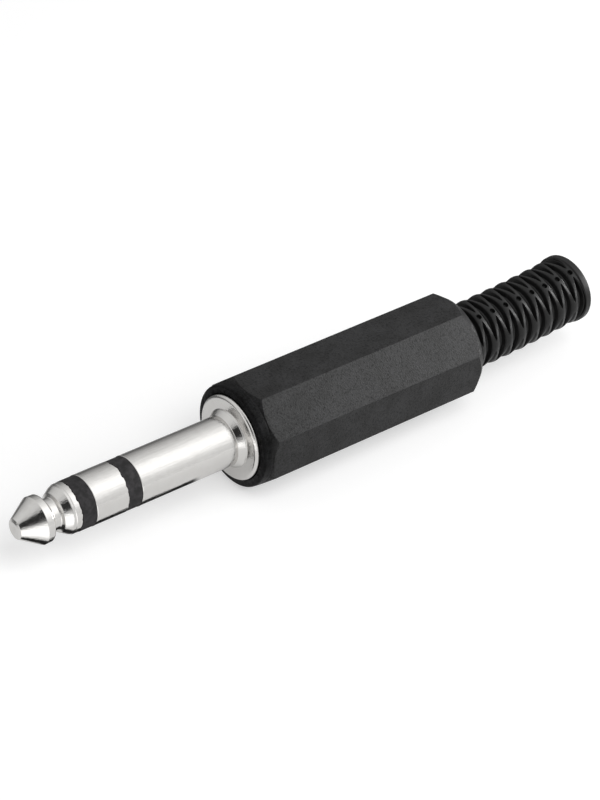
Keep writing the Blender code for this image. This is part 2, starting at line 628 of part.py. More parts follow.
def make_boot(parts, cutters):
    """The moulded boot: an inner flange, a neck in the handle's rear wall, and the slotted tube behind it."""
    straight = turned("boot_straight", [
        (BOOT_FLANGE_AT, BOOT_BORE_RADIUS, 0),
        (BOOT_FLANGE_AT, BOOT_FLANGE_RADIUS, 0),
        (BOOT_FLANGE_END, BOOT_FLANGE_RADIUS, 0),
        (BOOT_FLANGE_END, BOOT_NECK_RADIUS, 0),
        (BOOT_AT, BOOT_NECK_RADIUS, 0),
        (BOOT_AT, BOOT_RADIUS, 0),
        (LAST_SLOT_END, BOOT_RADIUS, 0),
        (LAST_SLOT_END + BOOT_END_GROWTH, BOOT_END_RADIUS, 0),
        (BOOT_END, BOOT_END_RADIUS, BOOT_EDGE_ROUND),
        (BOOT_END, BOOT_BORE_RADIUS, BOOT_BORE_ROUND),
    ], BOOT_SIDES, cutters, closed=True)
    as_cutter(straight)
    for first_row in (0, 1):
        add_boolean(straight, "DIFFERENCE", make_boot_cutter(first_row, cutters))
    bpy.context.view_layer.update()
    graph = bpy.context.evaluated_depsgraph_get()
    mesh = bpy.data.meshes.new_from_object(straight.evaluated_get(graph))
    mesh.name = "strain_relief_boot"
    bpy.data.objects.remove(straight, do_unlink=True)
    bm = bmesh.new()
    bm.from_mesh(mesh)
    bmesh.ops.triangulate(bm, faces=bm.faces)
    for vert in bm.verts:
        vert.co = bend(vert.co)
    bm.to_mesh(mesh)
    bm.free()
    mesh.shade_smooth()
    mesh.set_sharp_from_angle(angle=SHARP_ANGLE)
    boot = bpy.data.objects.new("strain_relief_boot", mesh)
    parts.objects.link(boot)
    return finish(boot, BOOT_PLASTIC)


def make_axis_frame(parts):
    """An empty at the tip's end whose local Z runs back along the plug, on the axis that the handle turns about."""
    frame = bpy.data.objects.new("plug_axis", None)
    frame.empty_display_size = AXIS_SYMBOL_SIZE
    frame.location = (-OVERALL_LENGTH / 2, 0, AXIS_HEIGHT)
    frame.rotation_euler = (0, math.pi / 2, 0)
    parts.objects.link(frame)
    return frame


def main():
    clear_scene()
    parts = new_collection("stereo_jack_plug")
    cutters = new_collection("cutters")
    make_axis_frame(parts)
    make_tip_contact(parts)
    make_insulator("tip_insulator", TIP_LENGTH, FRONT_TUBE_BORE, FRONT_TUBE_RADIUS, SPACER_AT - SEAT_GAP, parts)
    make_ring_contact(parts)
    make_insulator("ring_insulator", RING_END, REAR_TUBE_BORE, REAR_TUBE_RADIUS, WASHER_AT - SEAT_GAP, parts)
    make_sleeve_contact(parts)
    make_cable_clamp(parts, cutters)
    make_washer("clamp_insulating_washer", WASHER_AT, REAR_TUBE_BORE, WASHER_RADIUS, parts)
    make_lug("ring_lug", RING_LUG_AT, REAR_TUBE_BORE, RING_LUG_RADIUS, RING_LUG_TURN, parts, cutters)
    make_washer("lug_spacer_washer", SPACER_AT, FRONT_TUBE_BORE, SPACER_RADIUS, parts)
    make_lug("tip_lug", TIP_LUG_AT, FRONT_TUBE_BORE, TIP_LUG_RADIUS, TIP_LUG_TURN, parts, cutters)
    make_handle(parts, cutters)
    make_boot(parts, cutters)
    bpy.context.view_layer.update()


main()
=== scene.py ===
# %% [markdown]
# # A stereo jack plug, dressed for its portrait
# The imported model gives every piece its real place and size. This script keeps to that frame and
# makes the fine surfaces on it: turned and plated metal, a moulded handle, and a soft boot with
# moulded slots.

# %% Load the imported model
import json
import math

import bmesh
import bpy
from mathutils import Matrix, Vector, noise


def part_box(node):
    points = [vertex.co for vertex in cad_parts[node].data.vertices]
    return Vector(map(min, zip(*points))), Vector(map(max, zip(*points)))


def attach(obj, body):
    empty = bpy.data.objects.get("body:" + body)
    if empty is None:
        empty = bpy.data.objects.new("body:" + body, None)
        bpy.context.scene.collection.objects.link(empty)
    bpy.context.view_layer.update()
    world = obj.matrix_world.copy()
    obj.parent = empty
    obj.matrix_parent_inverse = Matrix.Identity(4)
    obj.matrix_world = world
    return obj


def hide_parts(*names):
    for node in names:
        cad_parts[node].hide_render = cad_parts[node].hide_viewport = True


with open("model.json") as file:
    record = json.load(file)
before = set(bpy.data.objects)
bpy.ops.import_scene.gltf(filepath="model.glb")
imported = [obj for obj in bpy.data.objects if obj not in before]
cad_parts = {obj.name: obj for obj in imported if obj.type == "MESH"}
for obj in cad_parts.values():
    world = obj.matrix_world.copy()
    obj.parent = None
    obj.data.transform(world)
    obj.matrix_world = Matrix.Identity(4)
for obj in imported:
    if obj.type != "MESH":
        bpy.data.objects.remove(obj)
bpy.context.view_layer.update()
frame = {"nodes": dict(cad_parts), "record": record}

print("pieces in the frame:", sorted(frame["nodes"]))

# %% [markdown]
# Everything on a jack plug is turned round one axis. The frame says where that axis runs: the tip's
# end is the lowest X of the whole plug, and the height of the axis is the middle of the handle. A
# place along the plug is then one number, the distance behind the tip's end, as on a maker's
# drawing.

# %% The plug's axis
MM = 0.001
handle_low, handle_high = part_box("handle")
TIP_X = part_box("tip_contact")[0].x
AXIS_Z = (handle_low.z + handle_high.z) / 2


def at(place, radius, turn):
    """The point at this distance behind the tip, from the axis, and round it from +Y towards +Z."""
    return Vector((TIP_X + place, radius * math.cos(turn), AXIS_Z + radius * math.sin(turn)))


print("axis height in mm:", round(AXIS_Z / MM, 3))

# %% [markdown]
# The metal is turned on a lathe, so each piece starts as its profile: corners that the tool visits,
# each with the round that it leaves. A Screw modifier could turn the profile, but a loop that lays
# ring after ring lets a rule shift single points, which the thread and the ragged band edges need
# later.

# %% Profiles and turning
ARC_STEPS = 8
FILLET_SHARE = 0.48
HOLD = 0.03 * MM
SHARP_ANGLE = math.radians(32)
ON_AXIS = 1e-9


def rounded(corners, closed=False):
    """Corners (place, radius, fillet) as points, with an arc at each corner that has a fillet."""
    points = []
    count = len(corners)
    for i, (place, radius, fillet) in enumerate(corners):
        corner = Vector((place, radius))
        if fillet == 0 or (not closed and i in (0, count - 1)):
            points.append(corner)
            continue
        before = Vector(corners[i - 1][:2]) - corner
        after = Vector(corners[(i + 1) % count][:2]) - corner
        half = before.angle(after) / 2
        reach = min(fillet / math.tan(half), FILLET_SHARE * min(before.length, after.length))
        arc_radius = reach * math.tan(half)
        inward = (before.normalized() + after.normalized()).normalized()
        centre = corner + inward * arc_radius / math.sin(half)
        start = corner + before.normalized() * reach - centre
        end = corner + after.normalized() * reach - centre
        first = math.atan2(start.y, start.x)
        sweep = math.remainder(math.atan2(end.y, end.x) - first, 2 * math.pi)
        for step in range(ARC_STEPS + 1):
            angle = first + sweep * step / ARC_STEPS
            points.append(centre + arc_radius * Vector((math.cos(angle), math.sin(angle))))
    return points


def held(points, closed=False):
    """The profile with a pair of points at each end of a long side, which keeps it straight."""
    out = []
    last = len(points) if closed else len(points) - 1
    for i in range(last):
        start = points[i]
        side = points[(i + 1) % len(points)] - start
        out.append(start)
        if side.length > 4 * HOLD:
            out.append(start + side.normalized() * HOLD)
            out.append(start + side - side.normalized() * HOLD)
    if not closed:
        out.append(points[-1])
    return out


def mesh_object(name, bm):
    mesh = bpy.data.meshes.new(name)
    bm.to_mesh(mesh)
    bm.free()
    mesh.shade_smooth()
    mesh.set_sharp_from_angle(angle=SHARP_ANGLE)
    obj = bpy.data.objects.new(name, mesh)
    bpy.context.scene.collection.objects.link(obj)
    return obj


def spin(name, points, sides, closed=False, shift=None):
    """Turns a profile, rearwards on its outside, round the axis. shift moves single points."""
    bm = bmesh.new()
    rings = []
    for point in points:
        if point.y < ON_AXIS:
            rings.append([bm.verts.new(at(point.x, 0, 0))])
            continue
        ring = []
        for side in range(sides):
            turn = 2 * math.pi * side / sides
            place, radius = shift(point.x, point.y, turn) if shift else point
            ring.append(bm.verts.new(at(place, radius, turn)))
        rings.append(ring)
    pairs = list(zip(rings, rings[1:]))
    if closed:
        pairs.append((rings[-1], rings[0]))
    for front, rear in pairs:
        for side in range(sides):
            after = (side + 1) % sides
            if len(front) == 1:
                bm.faces.new((front[0], rear[after], rear[side]))
            elif len(rear) == 1:
                bm.faces.new((front[side], front[after], rear[0]))
            else:
                bm.faces.new((front[side], front[after], rear[after], rear[side]))
    return mesh_object(name, bm)


def count_triangles(obj):
    return sum(len(face.vertices) - 2 for face in obj.data.polygons)


# %% [markdown]
# A finish is a small network of nodes. One helper adds a node with its settings and its links. The
# others name what every finish here is made of: cloudy noise, a stretched value, a blend of two
# colours and a bump. A colour is written in hex as it looks on a screen, which is sRGB, and one
# function turns it into the linear value that the shader wants.

# %% Node and colour helpers
# a Mix node has sockets for each kind of data, and these are the ones for colours
COLOUR_A, COLOUR_B, COLOUR_OUT = 6, 7, 2


def add_node(tree, kind, inputs=None, **settings):
    """Adds one node. Settings are its properties; inputs are values, or sockets that feed it."""
    node = tree.nodes.new(kind)
    for name, value in settings.items():
        setattr(node, name, value)
    for key, value in (inputs or {}).items():
        if isinstance(value, bpy.types.NodeSocket):
            tree.links.new(value, node.inputs[key])
        else:
            node.inputs[key].default_value = value
    return node


def srgb(text):
    """A hex colour such as 343234 as linear red, green, blue and alpha."""
    values = [int(text[i:i + 2], 16) / 255 for i in (0, 2, 4)]
    linear = [v / 12.92 if v <= 0.04045 else ((v + 0.055) / 1.055) ** 2.4 for v in values]
    return (*linear, 1)


def grey(level):
    return (level, level, level, 1)


def new_material(name):
    """An empty material, its node tree, and the Object coordinates that every texture here uses."""
    material = bpy.data.materials.new(name)
    material.use_nodes = True
    tree = material.node_tree
    tree.nodes.clear()
    return material, tree, add_node(tree, "ShaderNodeTexCoord").outputs["Object"]


def surfaced(material, inputs, kind="ShaderNodeBsdfPrincipled"):
    """Adds the shader that the material ends in, and hands the material back."""
    tree = material.node_tree
    shader = add_node(tree, kind, inputs)
    add_node(tree, "ShaderNodeOutputMaterial", {"Surface": shader.outputs[0]})
    print("made", material.name)
    return material


def per_mm(size_mm):
    """The texture scale at which one wave or cell is this many millimetres long."""
    return 1 / (size_mm * MM)


def math_of(tree, operation, *values):
    return add_node(tree, "ShaderNodeMath", dict(enumerate(values)), operation=operation).outputs[0]


def axes_of(tree, vector):
    return add_node(tree, "ShaderNodeSeparateXYZ", {0: vector}).outputs


def clouds(tree, place, size_mm, detail, roughness):
    return add_node(tree, "ShaderNodeTexNoise", {
        "Vector": place, "Scale": per_mm(size_mm), "Detail": detail, "Roughness": roughness,
    }).outputs[0]


def drawn_out(tree, place, scale):
    """Coordinates that stretch a texture along each axis whose scale is below 1."""
    return add_node(tree, "ShaderNodeMapping", {"Vector": place, "Scale": scale}).outputs[0]


def ranged(tree, value, start, end, low=0.0, high=1.0, **settings):
    """Carries a value between start and end over to between low and high, and stops it there."""
    return add_node(tree, "ShaderNodeMapRange", {
        "Value": value, "From Min": start, "From Max": end, "To Min": low, "To Max": high,
    }, **settings).outputs[0]


def blend(tree, share, first, second):
    """The first colour where the share is 0 and the second where it is 1."""
    return add_node(tree, "ShaderNodeMix", {
        0: share, COLOUR_A: first, COLOUR_B: second,
    }, data_type="RGBA").outputs[COLOUR_OUT]


def bump(tree, height, strength, depth_mm, **chained):
    return add_node(tree, "ShaderNodeBump", {
        "Height": height, "Strength": strength, "Distance": depth_mm * MM, **chained,
    }).outputs[0]


# %% [markdown]
# The contacts are brass, turned and then nickel plated. The plating is bright and slightly warm,
# and it keeps the faint rings of the cutting tool, about 0.1 mm apart. Each ring tilts the mirror a
# little, which stretches a reflection across the rings and gives turned metal its silky streak.
# Being pushed in and out of sockets adds fine scratches along the plug, which break dark
# reflections up into streaks.

# %% Nickel plate on turned brass
TOOL_RING_MM = 0.11
SCRATCH_MM = 0.3
SCRATCH_STRETCH = 0.12
PLATING_MOTTLE_MM = 0.9


def nickel_plate():
    material, tree, place = new_material("nickel_plate_turned")
    along = axes_of(tree, place)["X"]
    rings = add_node(tree, "ShaderNodeTexNoise", {
        "W": math_of(tree, "MULTIPLY", along, per_mm(TOOL_RING_MM)),
        "Scale": 1.0, "Detail": 3.0, "Roughness": 0.6,
    }, noise_dimensions="1D").outputs[0]
    mottle = clouds(tree, place, PLATING_MOTTLE_MM, detail=4.0, roughness=0.6)
    lengthways = drawn_out(tree, place, (SCRATCH_STRETCH, 1.0, 1.0))
    scratches = clouds(tree, lengthways, SCRATCH_MM, detail=3.0, roughness=0.65)
    ring_bump = bump(tree, rings, strength=0.12, depth_mm=0.01)
    return surfaced(material, {
        "Base Color": blend(tree, mottle, srgb("cfcdca"), srgb("dad9d7")),
        "Metallic": 1.0,
        "Roughness": ranged(tree, mottle, 0.3, 0.7, 0.09, 0.17),
        "Normal": bump(tree, scratches, strength=0.8, depth_mm=0.03, Normal=ring_bump),
    })


NICKEL = nickel_plate()

# %% [markdown]
# The two bands are a filled charcoal plastic, turned flush with the metal. The tool leaves them
# dull and slightly cloudy, with paler smears where it rubbed.

# %% Turned band plastic
BAND_CLOUD_MM = 0.8
BAND_PIT_MM = 0.16


def band_plastic():
    material, tree, place = new_material("filled_plastic_turned")
    share = ranged(tree, clouds(tree, place, BAND_CLOUD_MM, detail=5.0, roughness=0.7), 0.42, 0.72)
    pits = clouds(tree, place, BAND_PIT_MM, detail=3.0, roughness=0.7)
    return surfaced(material, {
        "Base Color": blend(tree, share, srgb("141314"), srgb("353335")),
        "Roughness": 0.8,
        "IOR": 1.45,
        "Normal": bump(tree, pits, strength=0.5, depth_mm=0.02),
    })


BAND = band_plastic()

# %% [markdown]
# The handle is black plastic from a mould that was eroded by sparks. That leaves a fine grain, well
# under a quarter of a millimetre, which scatters the light into a soft grey sheen. Small pits in
# the grain hold less of it and show as darker specks. The round lip in front of the flats is given
# hardly any sheen, as painted shade, so it looks nearly black.

# %% Moulded handle plastic
GRAIN_MM = 0.18
SPECK_MM = 0.25
HANDLE_CLOUD_MM = 2.5
# painted shade: the round lip gets little sheen and comes out nearly black, fading up to the flats
PAINTED_SHADE_LIP_END = handle_low.x + 0.9 * MM
SHEEN_FROM = handle_low.x + 1.7 * MM
PAINTED_SHADE_LIP_SHEEN = 0.1
FLAT_SHEEN = 0.44
PIT_SHEEN = 0.6
GRAIN_SHEEN = 1.05


def handle_plastic():
    material, tree, place = new_material("abs_moulded_fine_grain")
    grain = clouds(tree, place, GRAIN_MM, detail=2.0, roughness=0.6)
    specks = clouds(tree, place, SPECK_MM, detail=4.0, roughness=0.75)
    cloud = clouds(tree, place, HANDLE_CLOUD_MM, detail=4.0, roughness=0.6)
    share = ranged(tree, math_of(tree, "MULTIPLY", specks, cloud), 0.17, 0.34)
    along = axes_of(tree, place)["X"]
    # painted shade: less sheen on the front lip than on the flats
    sheen_with_painted_lip_shade = ranged(tree, along, PAINTED_SHADE_LIP_END, SHEEN_FROM, PAINTED_SHADE_LIP_SHEEN, FLAT_SHEEN)
    pits = ranged(tree, specks, 0.36, 0.48, PIT_SHEEN, GRAIN_SHEEN)
    return surfaced(material, {
        "Base Color": blend(tree, share, srgb("050505"), srgb("1e1e1f")),
        "Roughness": 0.45,
        "IOR": 1.4,
        "Specular IOR Level": math_of(tree, "MULTIPLY", sheen_with_painted_lip_shade, pits),
        "Normal": bump(tree, grain, strength=1.0, depth_mm=0.03),
    })


HANDLE = handle_plastic()

# %% [markdown]
# The boot is soft PVC, so that it can bend with the cable. It comes out of a polished mould, so it
# is darker and glossier than the handle, and its thin edges catch the light.

# %% Moulded boot plastic
BOOT_WAVE_MM = 0.7


def boot_plastic():
    material, tree, place = new_material("pvc_soft_moulded")
    wave = clouds(tree, place, BOOT_WAVE_MM, detail=3.0, roughness=0.6)
    return surfaced(material, {
        "Base Color": blend(tree, wave, srgb("0c0c0c"), srgb("161616")),
        "Roughness": ranged(tree, wave, 0.3, 0.7, 0.31, 0.46),
        "IOR": 1.36,
        "Normal": bump(tree, wave, strength=0.25, depth_mm=0.03),
    })


BOOT = boot_plastic()

# %% [markdown]
# The clamp and the solder tags are stamped from brass sheet and tinned, so that solder takes. Tin
# is softer and duller than nickel, with cloudy patches and fine scratches along the rolled sheet.

# %% Tinned brass sheet
TIN_CLOUD_MM = 1.4
ROLLED_LINE_MM = 0.12
ROLLED_STRETCH = 0.06


def tinned_brass():
    material, tree, place = new_material("brass_sheet_tinned")
    cloud = clouds(tree, place, TIN_CLOUD_MM, detail=5.0, roughness=0.65)
    lengthways = drawn_out(tree, place, (ROLLED_STRETCH, 1.0, 1.0))
    lines = clouds(tree, lengthways, ROLLED_LINE_MM, detail=3.0, roughness=0.6)
    return surfaced(material, {
        "Base Color": blend(tree, cloud, srgb("c9c4b6"), srgb("dad7cf")),
        "Metallic": 1.0,
        "Roughness": ranged(tree, cloud, 0.3, 0.7, 0.28, 0.44),
        "Normal": bump(tree, lines, strength=0.3, depth_mm=0.01),
    })


TIN = tinned_brass()

# %% [markdown]
# The washers between the tags are punched from vulcanised fibre, a hard brown board of pressed
# paper. Its long fibres show as streaks, and its punched rim is matt.

# %% Vulcanised fibre board
FIBRE_MM = 0.2
FIBRE_STRETCH = 0.15


def washer_fibre():
    material, tree, place = new_material("vulcanised_fibre_punched")
    sideways = drawn_out(tree, place, (1.0, FIBRE_STRETCH, 1.0))
    fibres = clouds(tree, sideways, FIBRE_MM, detail=4.0, roughness=0.7)
    return surfaced(material, {
        "Base Color": blend(tree, fibres, srgb("5a2c18"), srgb("86492a")),
        "Roughness": 0.8,
        "IOR": 1.5,
        "Normal": bump(tree, fibres, strength=0.4, depth_mm=0.02),
    })


FIBRE = washer_fibre()

# %% [markdown]
# Each finished piece rides on the body of the node that it stands for, hides that node, and takes
# the finish that it is given. One helper does all three.

# %% Put a piece in a node's place
BODIES = frame["record"]["behaviour"]["bodies"]
BODY_OF = {node: body for body, nodes in BODIES.items() for node in nodes}


def stand_for(piece, node, material):
    piece.data.materials.clear()
    piece.data.materials.append(material)
    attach(piece, BODY_OF[node])
    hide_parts(node)
    print(piece.name, "stands for", node, "with", count_triangles(piece), "triangles")


# %% [markdown]
# Where metal meets a band, the tool drags a little of the soft plastic and the metal along, so the
# front edge of each band is slightly ragged. Both pieces at the edge use the same rule, so they
# stay shut.

# %% Ragged band edges
BARREL = 3.175 * MM
BAND_STEP = 0.05 * MM
RAGGED_DEPTH = 0.17 * MM
RAGGED_REACH = 0.16 * MM
RAGGED_SKIN = 4 * BAND_STEP
COARSE_WAVES = 3
FINE_WAVES = 11
FINE_SHARE = 0.6


def wander(waves, turn, seed):
    """A smooth random value that closes on itself when the turn comes round."""
    return noise.noise(Vector((waves * math.cos(turn), waves * math.sin(turn), seed)))


def ragged(edges):
    """A shift for spin: points near an edge (a place) move back and forth as they go round."""
    def shift(place, radius, turn):
        near = [edge for edge in edges if abs(edge - place) < RAGGED_REACH]
        if near and radius > BARREL - RAGGED_SKIN:
            seed = near[0] / MM
            fine = FINE_SHARE * wander(FINE_WAVES, turn, seed)
            place += RAGGED_DEPTH * (wander(COARSE_WAVES, turn, seed) + fine)
        return place, radius
    return shift


# %% [markdown]
# The tip contact is one turned piece: a blunt cone, a neck that the socket's spring drops into, and
# a flange against the first band. A thin rod runs back from it through the whole plug, and its end
# is peened over the last solder tag.

# %% Tip contact
TIP_LENGTH = 7.4 * MM
SEAT_GAP = 0.02 * MM
TURNED_SIDES = 160
ROD = 0.6 * MM
PEEN_LENGTH = 0.5 * MM
PEEN_GROWTH = 0.45 * MM
PEEN_TOP = 0.2 * MM


def rear_of(node):
    """How far behind the tip's end this node of the frame reaches."""
    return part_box(node)[1].x - TIP_X


def peened(rear, radius):
    """Corners of a rod's or tube's end that was hammered out over the last tag."""
    return [
        (rear - PEEN_LENGTH, radius, 0),
        (rear - PEEN_LENGTH, radius + PEEN_GROWTH, 0.1 * MM),
        (rear, radius + PEEN_TOP, 0.15 * MM),
    ]


TIP_REAR = rear_of("tip_contact")
# each corner is a place behind the tip's end, a radius, and the fillet that rounds it
TIP_PROFILE = [
    (0.1 * MM, 0, 0),
    (0.06 * MM, 0.3 * MM, 0),
    (0, 0.4 * MM, 0),
    (0, 0.9 * MM, 0.08 * MM),
    (0.16 * MM, 1.27 * MM, 0.06 * MM),
    (2.85 * MM, 2.95 * MM, 0.2 * MM),
    (3.78 * MM, 2.93 * MM, 0.28 * MM),
    (4.28 * MM, 2.03 * MM, 0.25 * MM),
    (5.2 * MM, 1.98 * MM, 0.15 * MM),
    (5.45 * MM, 2.42 * MM, 0.3 * MM),
    (6.3 * MM, 2.95 * MM, 0.5 * MM),
    (6.6 * MM, 3.0 * MM, 0.02 * MM),
    (6.66 * MM, 3.08 * MM, 0.03 * MM),
    (TIP_LENGTH - 0.12 * MM, 3.12 * MM, 0),
    (TIP_LENGTH - SEAT_GAP, 3.02 * MM, 0),
    (TIP_LENGTH - SEAT_GAP, ROD, 0),
    *peened(TIP_REAR, ROD),
    (TIP_REAR, 0, 0),
]
tip_points = held(rounded(TIP_PROFILE))
tip = spin("tip_contact_turned", tip_points, TURNED_SIDES, shift=ragged([TIP_LENGTH]))
stand_for(tip, "tip_contact", NICKEL)

# %% [markdown]
# Each band is the flange of an insulating tube. The tubes lie one inside the other between the
# contacts, and reach as far back as the frame says.

# %% Insulators
BAND_WIDTH = 2.0 * MM
RING_END = 13.83 * MM
FIT_GAP = 0.05 * MM
TUBE_WALL = 0.4 * MM
FRONT_BORE = ROD + FIT_GAP
RING_BORE = FRONT_BORE + TUBE_WALL + FIT_GAP
RING_WALL = 0.5 * MM
REAR_BORE = RING_BORE + RING_WALL + FIT_GAP
BANDS = {"tip_insulator": (TIP_LENGTH, FRONT_BORE), "ring_insulator": (RING_END, REAR_BORE)}


def band_profile(start, bore, rear):
    face = start + BAND_WIDTH - SEAT_GAP
    return [
        (start, bore, 0),
        (start, BARREL - BAND_STEP, 0),
        (face, BARREL - BAND_STEP, 0),
        (face, bore + TUBE_WALL, 0),
        (rear, bore + TUBE_WALL, 0),
        (rear, bore, 0),
    ]


for node, (start, bore) in BANDS.items():
    profile = band_profile(start, bore, rear_of(node))
    points = held(rounded(profile, closed=True), closed=True)
    band = spin(node + "_turned", points, TURNED_SIDES, closed=True, shift=ragged([start]))
    stand_for(band, node, BAND)

# %% [markdown]
# The ring contact has the barrel's full diameter. The lathe breaks its edges, and these narrow
# chamfers are the bright lines that border the bands.

# %% Ring contact
RING_AT = TIP_LENGTH + BAND_WIDTH
EDGE_BREAK = 0.05 * MM
RING_REAR = rear_of("ring_contact")
RING_PROFILE = [
    (RING_AT, RING_BORE, 0),
    (RING_AT, BARREL - EDGE_BREAK, 0),
    (RING_AT + EDGE_BREAK, BARREL, 0),
    (RING_END - SEAT_GAP - EDGE_BREAK, BARREL, 0),
    (RING_END - SEAT_GAP, BARREL - EDGE_BREAK, 0),
    (RING_END - SEAT_GAP, RING_BORE + RING_WALL, 0),
    *peened(RING_REAR, RING_BORE + RING_WALL),
    (RING_REAR, RING_BORE, 0),
]
ring_points = held(rounded(RING_PROFILE, closed=True), closed=True)
ring = spin(
    "ring_contact_turned", ring_points, TURNED_SIDES, closed=True, shift=ragged([RING_END]),
)
stand_for(ring, "ring_contact", NICKEL)

# %% [markdown]
# The sleeve contact is the biggest turned piece: barrel, flare, collar, and behind the collar a
# spigot with the thread that the handle screws on. The thread is a rule on the rings of the spigot:
# the radius falls and rises once a turn and once a pitch, which is a helix.

# %% Sleeve contact
SLEEVE_AT = RING_END + BAND_WIDTH
SHOULDER_AT = 30.5 * MM
COLLAR_RADIUS = 5.42 * MM
COLLAR_END = 32.05 * MM
SPIGOT = 4.6 * MM
SPIGOT_END = 38.45 * MM
SPIGOT_CHAMFER = 0.35 * MM
UNDERCUT = SPIGOT - 0.45 * MM
PITCH = 1.0 * MM
THREAD_DEPTH = 0.45 * MM
THREAD_RINGS = 12
# how steep the thread's sides are, how far its crests are cut off flat, and the share of a pitch
# over which it fades in at either end
THREAD_STEEPNESS = 1.25
THREAD_FLAT = 0.1
THREAD_FADE = 0.5
BARREL_BORE = REAR_BORE + TUBE_WALL + FIT_GAP
BOSS = BARREL_BORE + 0.65 * MM
RIVET_LIP = 0.35 * MM
SLEEVE_REAR = rear_of("sleeve_contact")
thread_from = COLLAR_END + 0.9 * MM
thread_to = SPIGOT_END - SPIGOT_CHAMFER
front_corners = [
    (SLEEVE_AT, BARREL_BORE, 0),
    (SLEEVE_AT, BARREL - EDGE_BREAK, 0),
    (SLEEVE_AT + EDGE_BREAK, BARREL, 0),
    (SHOULDER_AT - 0.88 * MM, BARREL, 0.15 * MM),
    (SHOULDER_AT - 0.17 * MM, BARREL + 0.46 * MM, 0.03 * MM),
    (SHOULDER_AT - 0.15 * MM, BARREL + 0.5 * MM, 0.03 * MM),
    (SHOULDER_AT, BARREL + 0.55 * MM, 0.05 * MM),
    (SHOULDER_AT, COLLAR_RADIUS, 0.42 * MM),
    (COLLAR_END, COLLAR_RADIUS, 0),
    (COLLAR_END, UNDERCUT, 0),
    (COLLAR_END + 0.5 * MM, UNDERCUT, 0),
    (thread_from, SPIGOT, 0),
]
rear_corners = [
    (thread_to, SPIGOT, 0),
    (SPIGOT_END, SPIGOT - SPIGOT_CHAMFER, 0),
    (SPIGOT_END, BOSS, 0),
    (SLEEVE_REAR - RIVET_LIP, BOSS, 0),
    (SLEEVE_REAR - RIVET_LIP, BOSS + 0.35 * MM, 0.08 * MM),
    (SLEEVE_REAR, BOSS + 0.25 * MM, 0.15 * MM),
    (SLEEVE_REAR, BARREL_BORE, 0),
]


def thread_points(start, end, radius):
    count = round((end - start) / PITCH * THREAD_RINGS)
    return [Vector((start + (end - start) * i / count, radius)) for i in range(1, count)]


def threaded(start, end, depth):
    """A shift for spin: the radius follows a helix of triangular section between start and end."""
    def shift(place, radius, turn):
        if start < place < end and abs(radius - SPIGOT) < THREAD_DEPTH:
            phase = (place - start) / PITCH - turn / (2 * math.pi)
            wave = 2 * abs(phase - math.floor(phase) - 0.5)
            section = min(max(THREAD_STEEPNESS * wave - THREAD_FLAT, 0), 1)
            inside = min((place - start) / PITCH, (end - place) / PITCH)
            radius -= depth * section * min(inside, THREAD_FADE) / THREAD_FADE
        return place, radius
    return shift


sleeve_points = held(rounded(front_corners)) + thread_points(thread_from, thread_to, SPIGOT)
sleeve_points += held(rounded(rear_corners))
thread = threaded(thread_from, thread_to, THREAD_DEPTH)
sleeve = spin("sleeve_contact_turned", sleeve_points, TURNED_SIDES, closed=True, shift=thread)
stand_for(sleeve, "sleeve_contact", NICKEL)

# %% [markdown]
# The handle is moulded as an eight-sided bar whose ends look turned. An octagonal prism, cut by a
# turned envelope, gives the scallops where flats and turned ends meet. Bevel then softens every
# edge, and Weighted Normal keeps the flats flat between the soft edges. The thread inside is
# shallow, because its crests have to clear the cable clamp when the handle is screwed off.

# %% Handle
FLATS = 8
ACROSS_FLATS = handle_high.z - handle_low.z
HANDLE_AT = handle_low.x - TIP_X
HANDLE_END = handle_high.x - TIP_X
CORNER = ACROSS_FLATS / 2 / math.cos(math.pi / FLATS)
CUT_MARGIN = 1.0 * MM
ENVELOPE_SIDES = 128
BORE_SIDES = 96
THREAD_BORE = SPIGOT + 0.06 * MM
BORE_THREAD_DEPTH = 0.17 * MM
THREAD_RELIEF = 0.49 * MM
CAVITY = THREAD_BORE + THREAD_RELIEF
COLLAR_RECESS = COLLAR_RADIUS + 0.1 * MM
REAR_WALL_AT = HANDLE_END - 2.05 * MM
NECK_HOLE = 4.15 * MM
ENVELOPE_RADIUS = CORNER + 0.16 * MM
HANDLE_EDGE = 0.08 * MM
HANDLE_EDGE_STEPS = 3
HANDLE_EDGE_ANGLE = math.radians(20)


def prism(name, start, end, corner, sides):
    bm = bmesh.new()
    turns = [2 * math.pi * i / sides + math.pi / sides for i in range(sides)]
    front = [bm.verts.new(at(start, corner, turn)) for turn in turns]
    rear = [bm.verts.new(at(end, corner, turn)) for turn in turns]
    bm.faces.new(reversed(front))
    bm.faces.new(rear)
    for i in range(sides):
        after = (i + 1) % sides
        bm.faces.new((front[i], front[after], rear[after], rear[i]))
    bmesh.ops.recalc_face_normals(bm, faces=bm.faces)
    return mesh_object(name, bm)


def combine(obj, operation, other):
    boolean = obj.modifiers.new(operation, "BOOLEAN")
    boolean.operation = operation
    boolean.solver = "EXACT"
    boolean.object = other


def make_plain(obj):
    """Turns the object's modifiers into a plain mesh."""
    bpy.context.view_layer.update()
    graph = bpy.context.evaluated_depsgraph_get()
    mesh = bpy.data.meshes.new_from_object(obj.evaluated_get(graph))
    obj.modifiers.clear()
    old = obj.data
    obj.data = mesh
    bpy.data.meshes.remove(old)
    mesh.name = obj.name


def soften(obj, width, segments, angle):
    bevel = obj.modifiers.new("soft edges", "BEVEL")
    bevel.limit_method = "ANGLE"
    bevel.angle_limit = angle
    bevel.width = width
    bevel.segments = segments
    bevel.use_clamp_overlap = True
    bevel.miter_outer = "MITER_ARC"
    weighted = obj.modifiers.new("flat faces stay flat", "WEIGHTED_NORMAL")
    weighted.keep_sharp = True


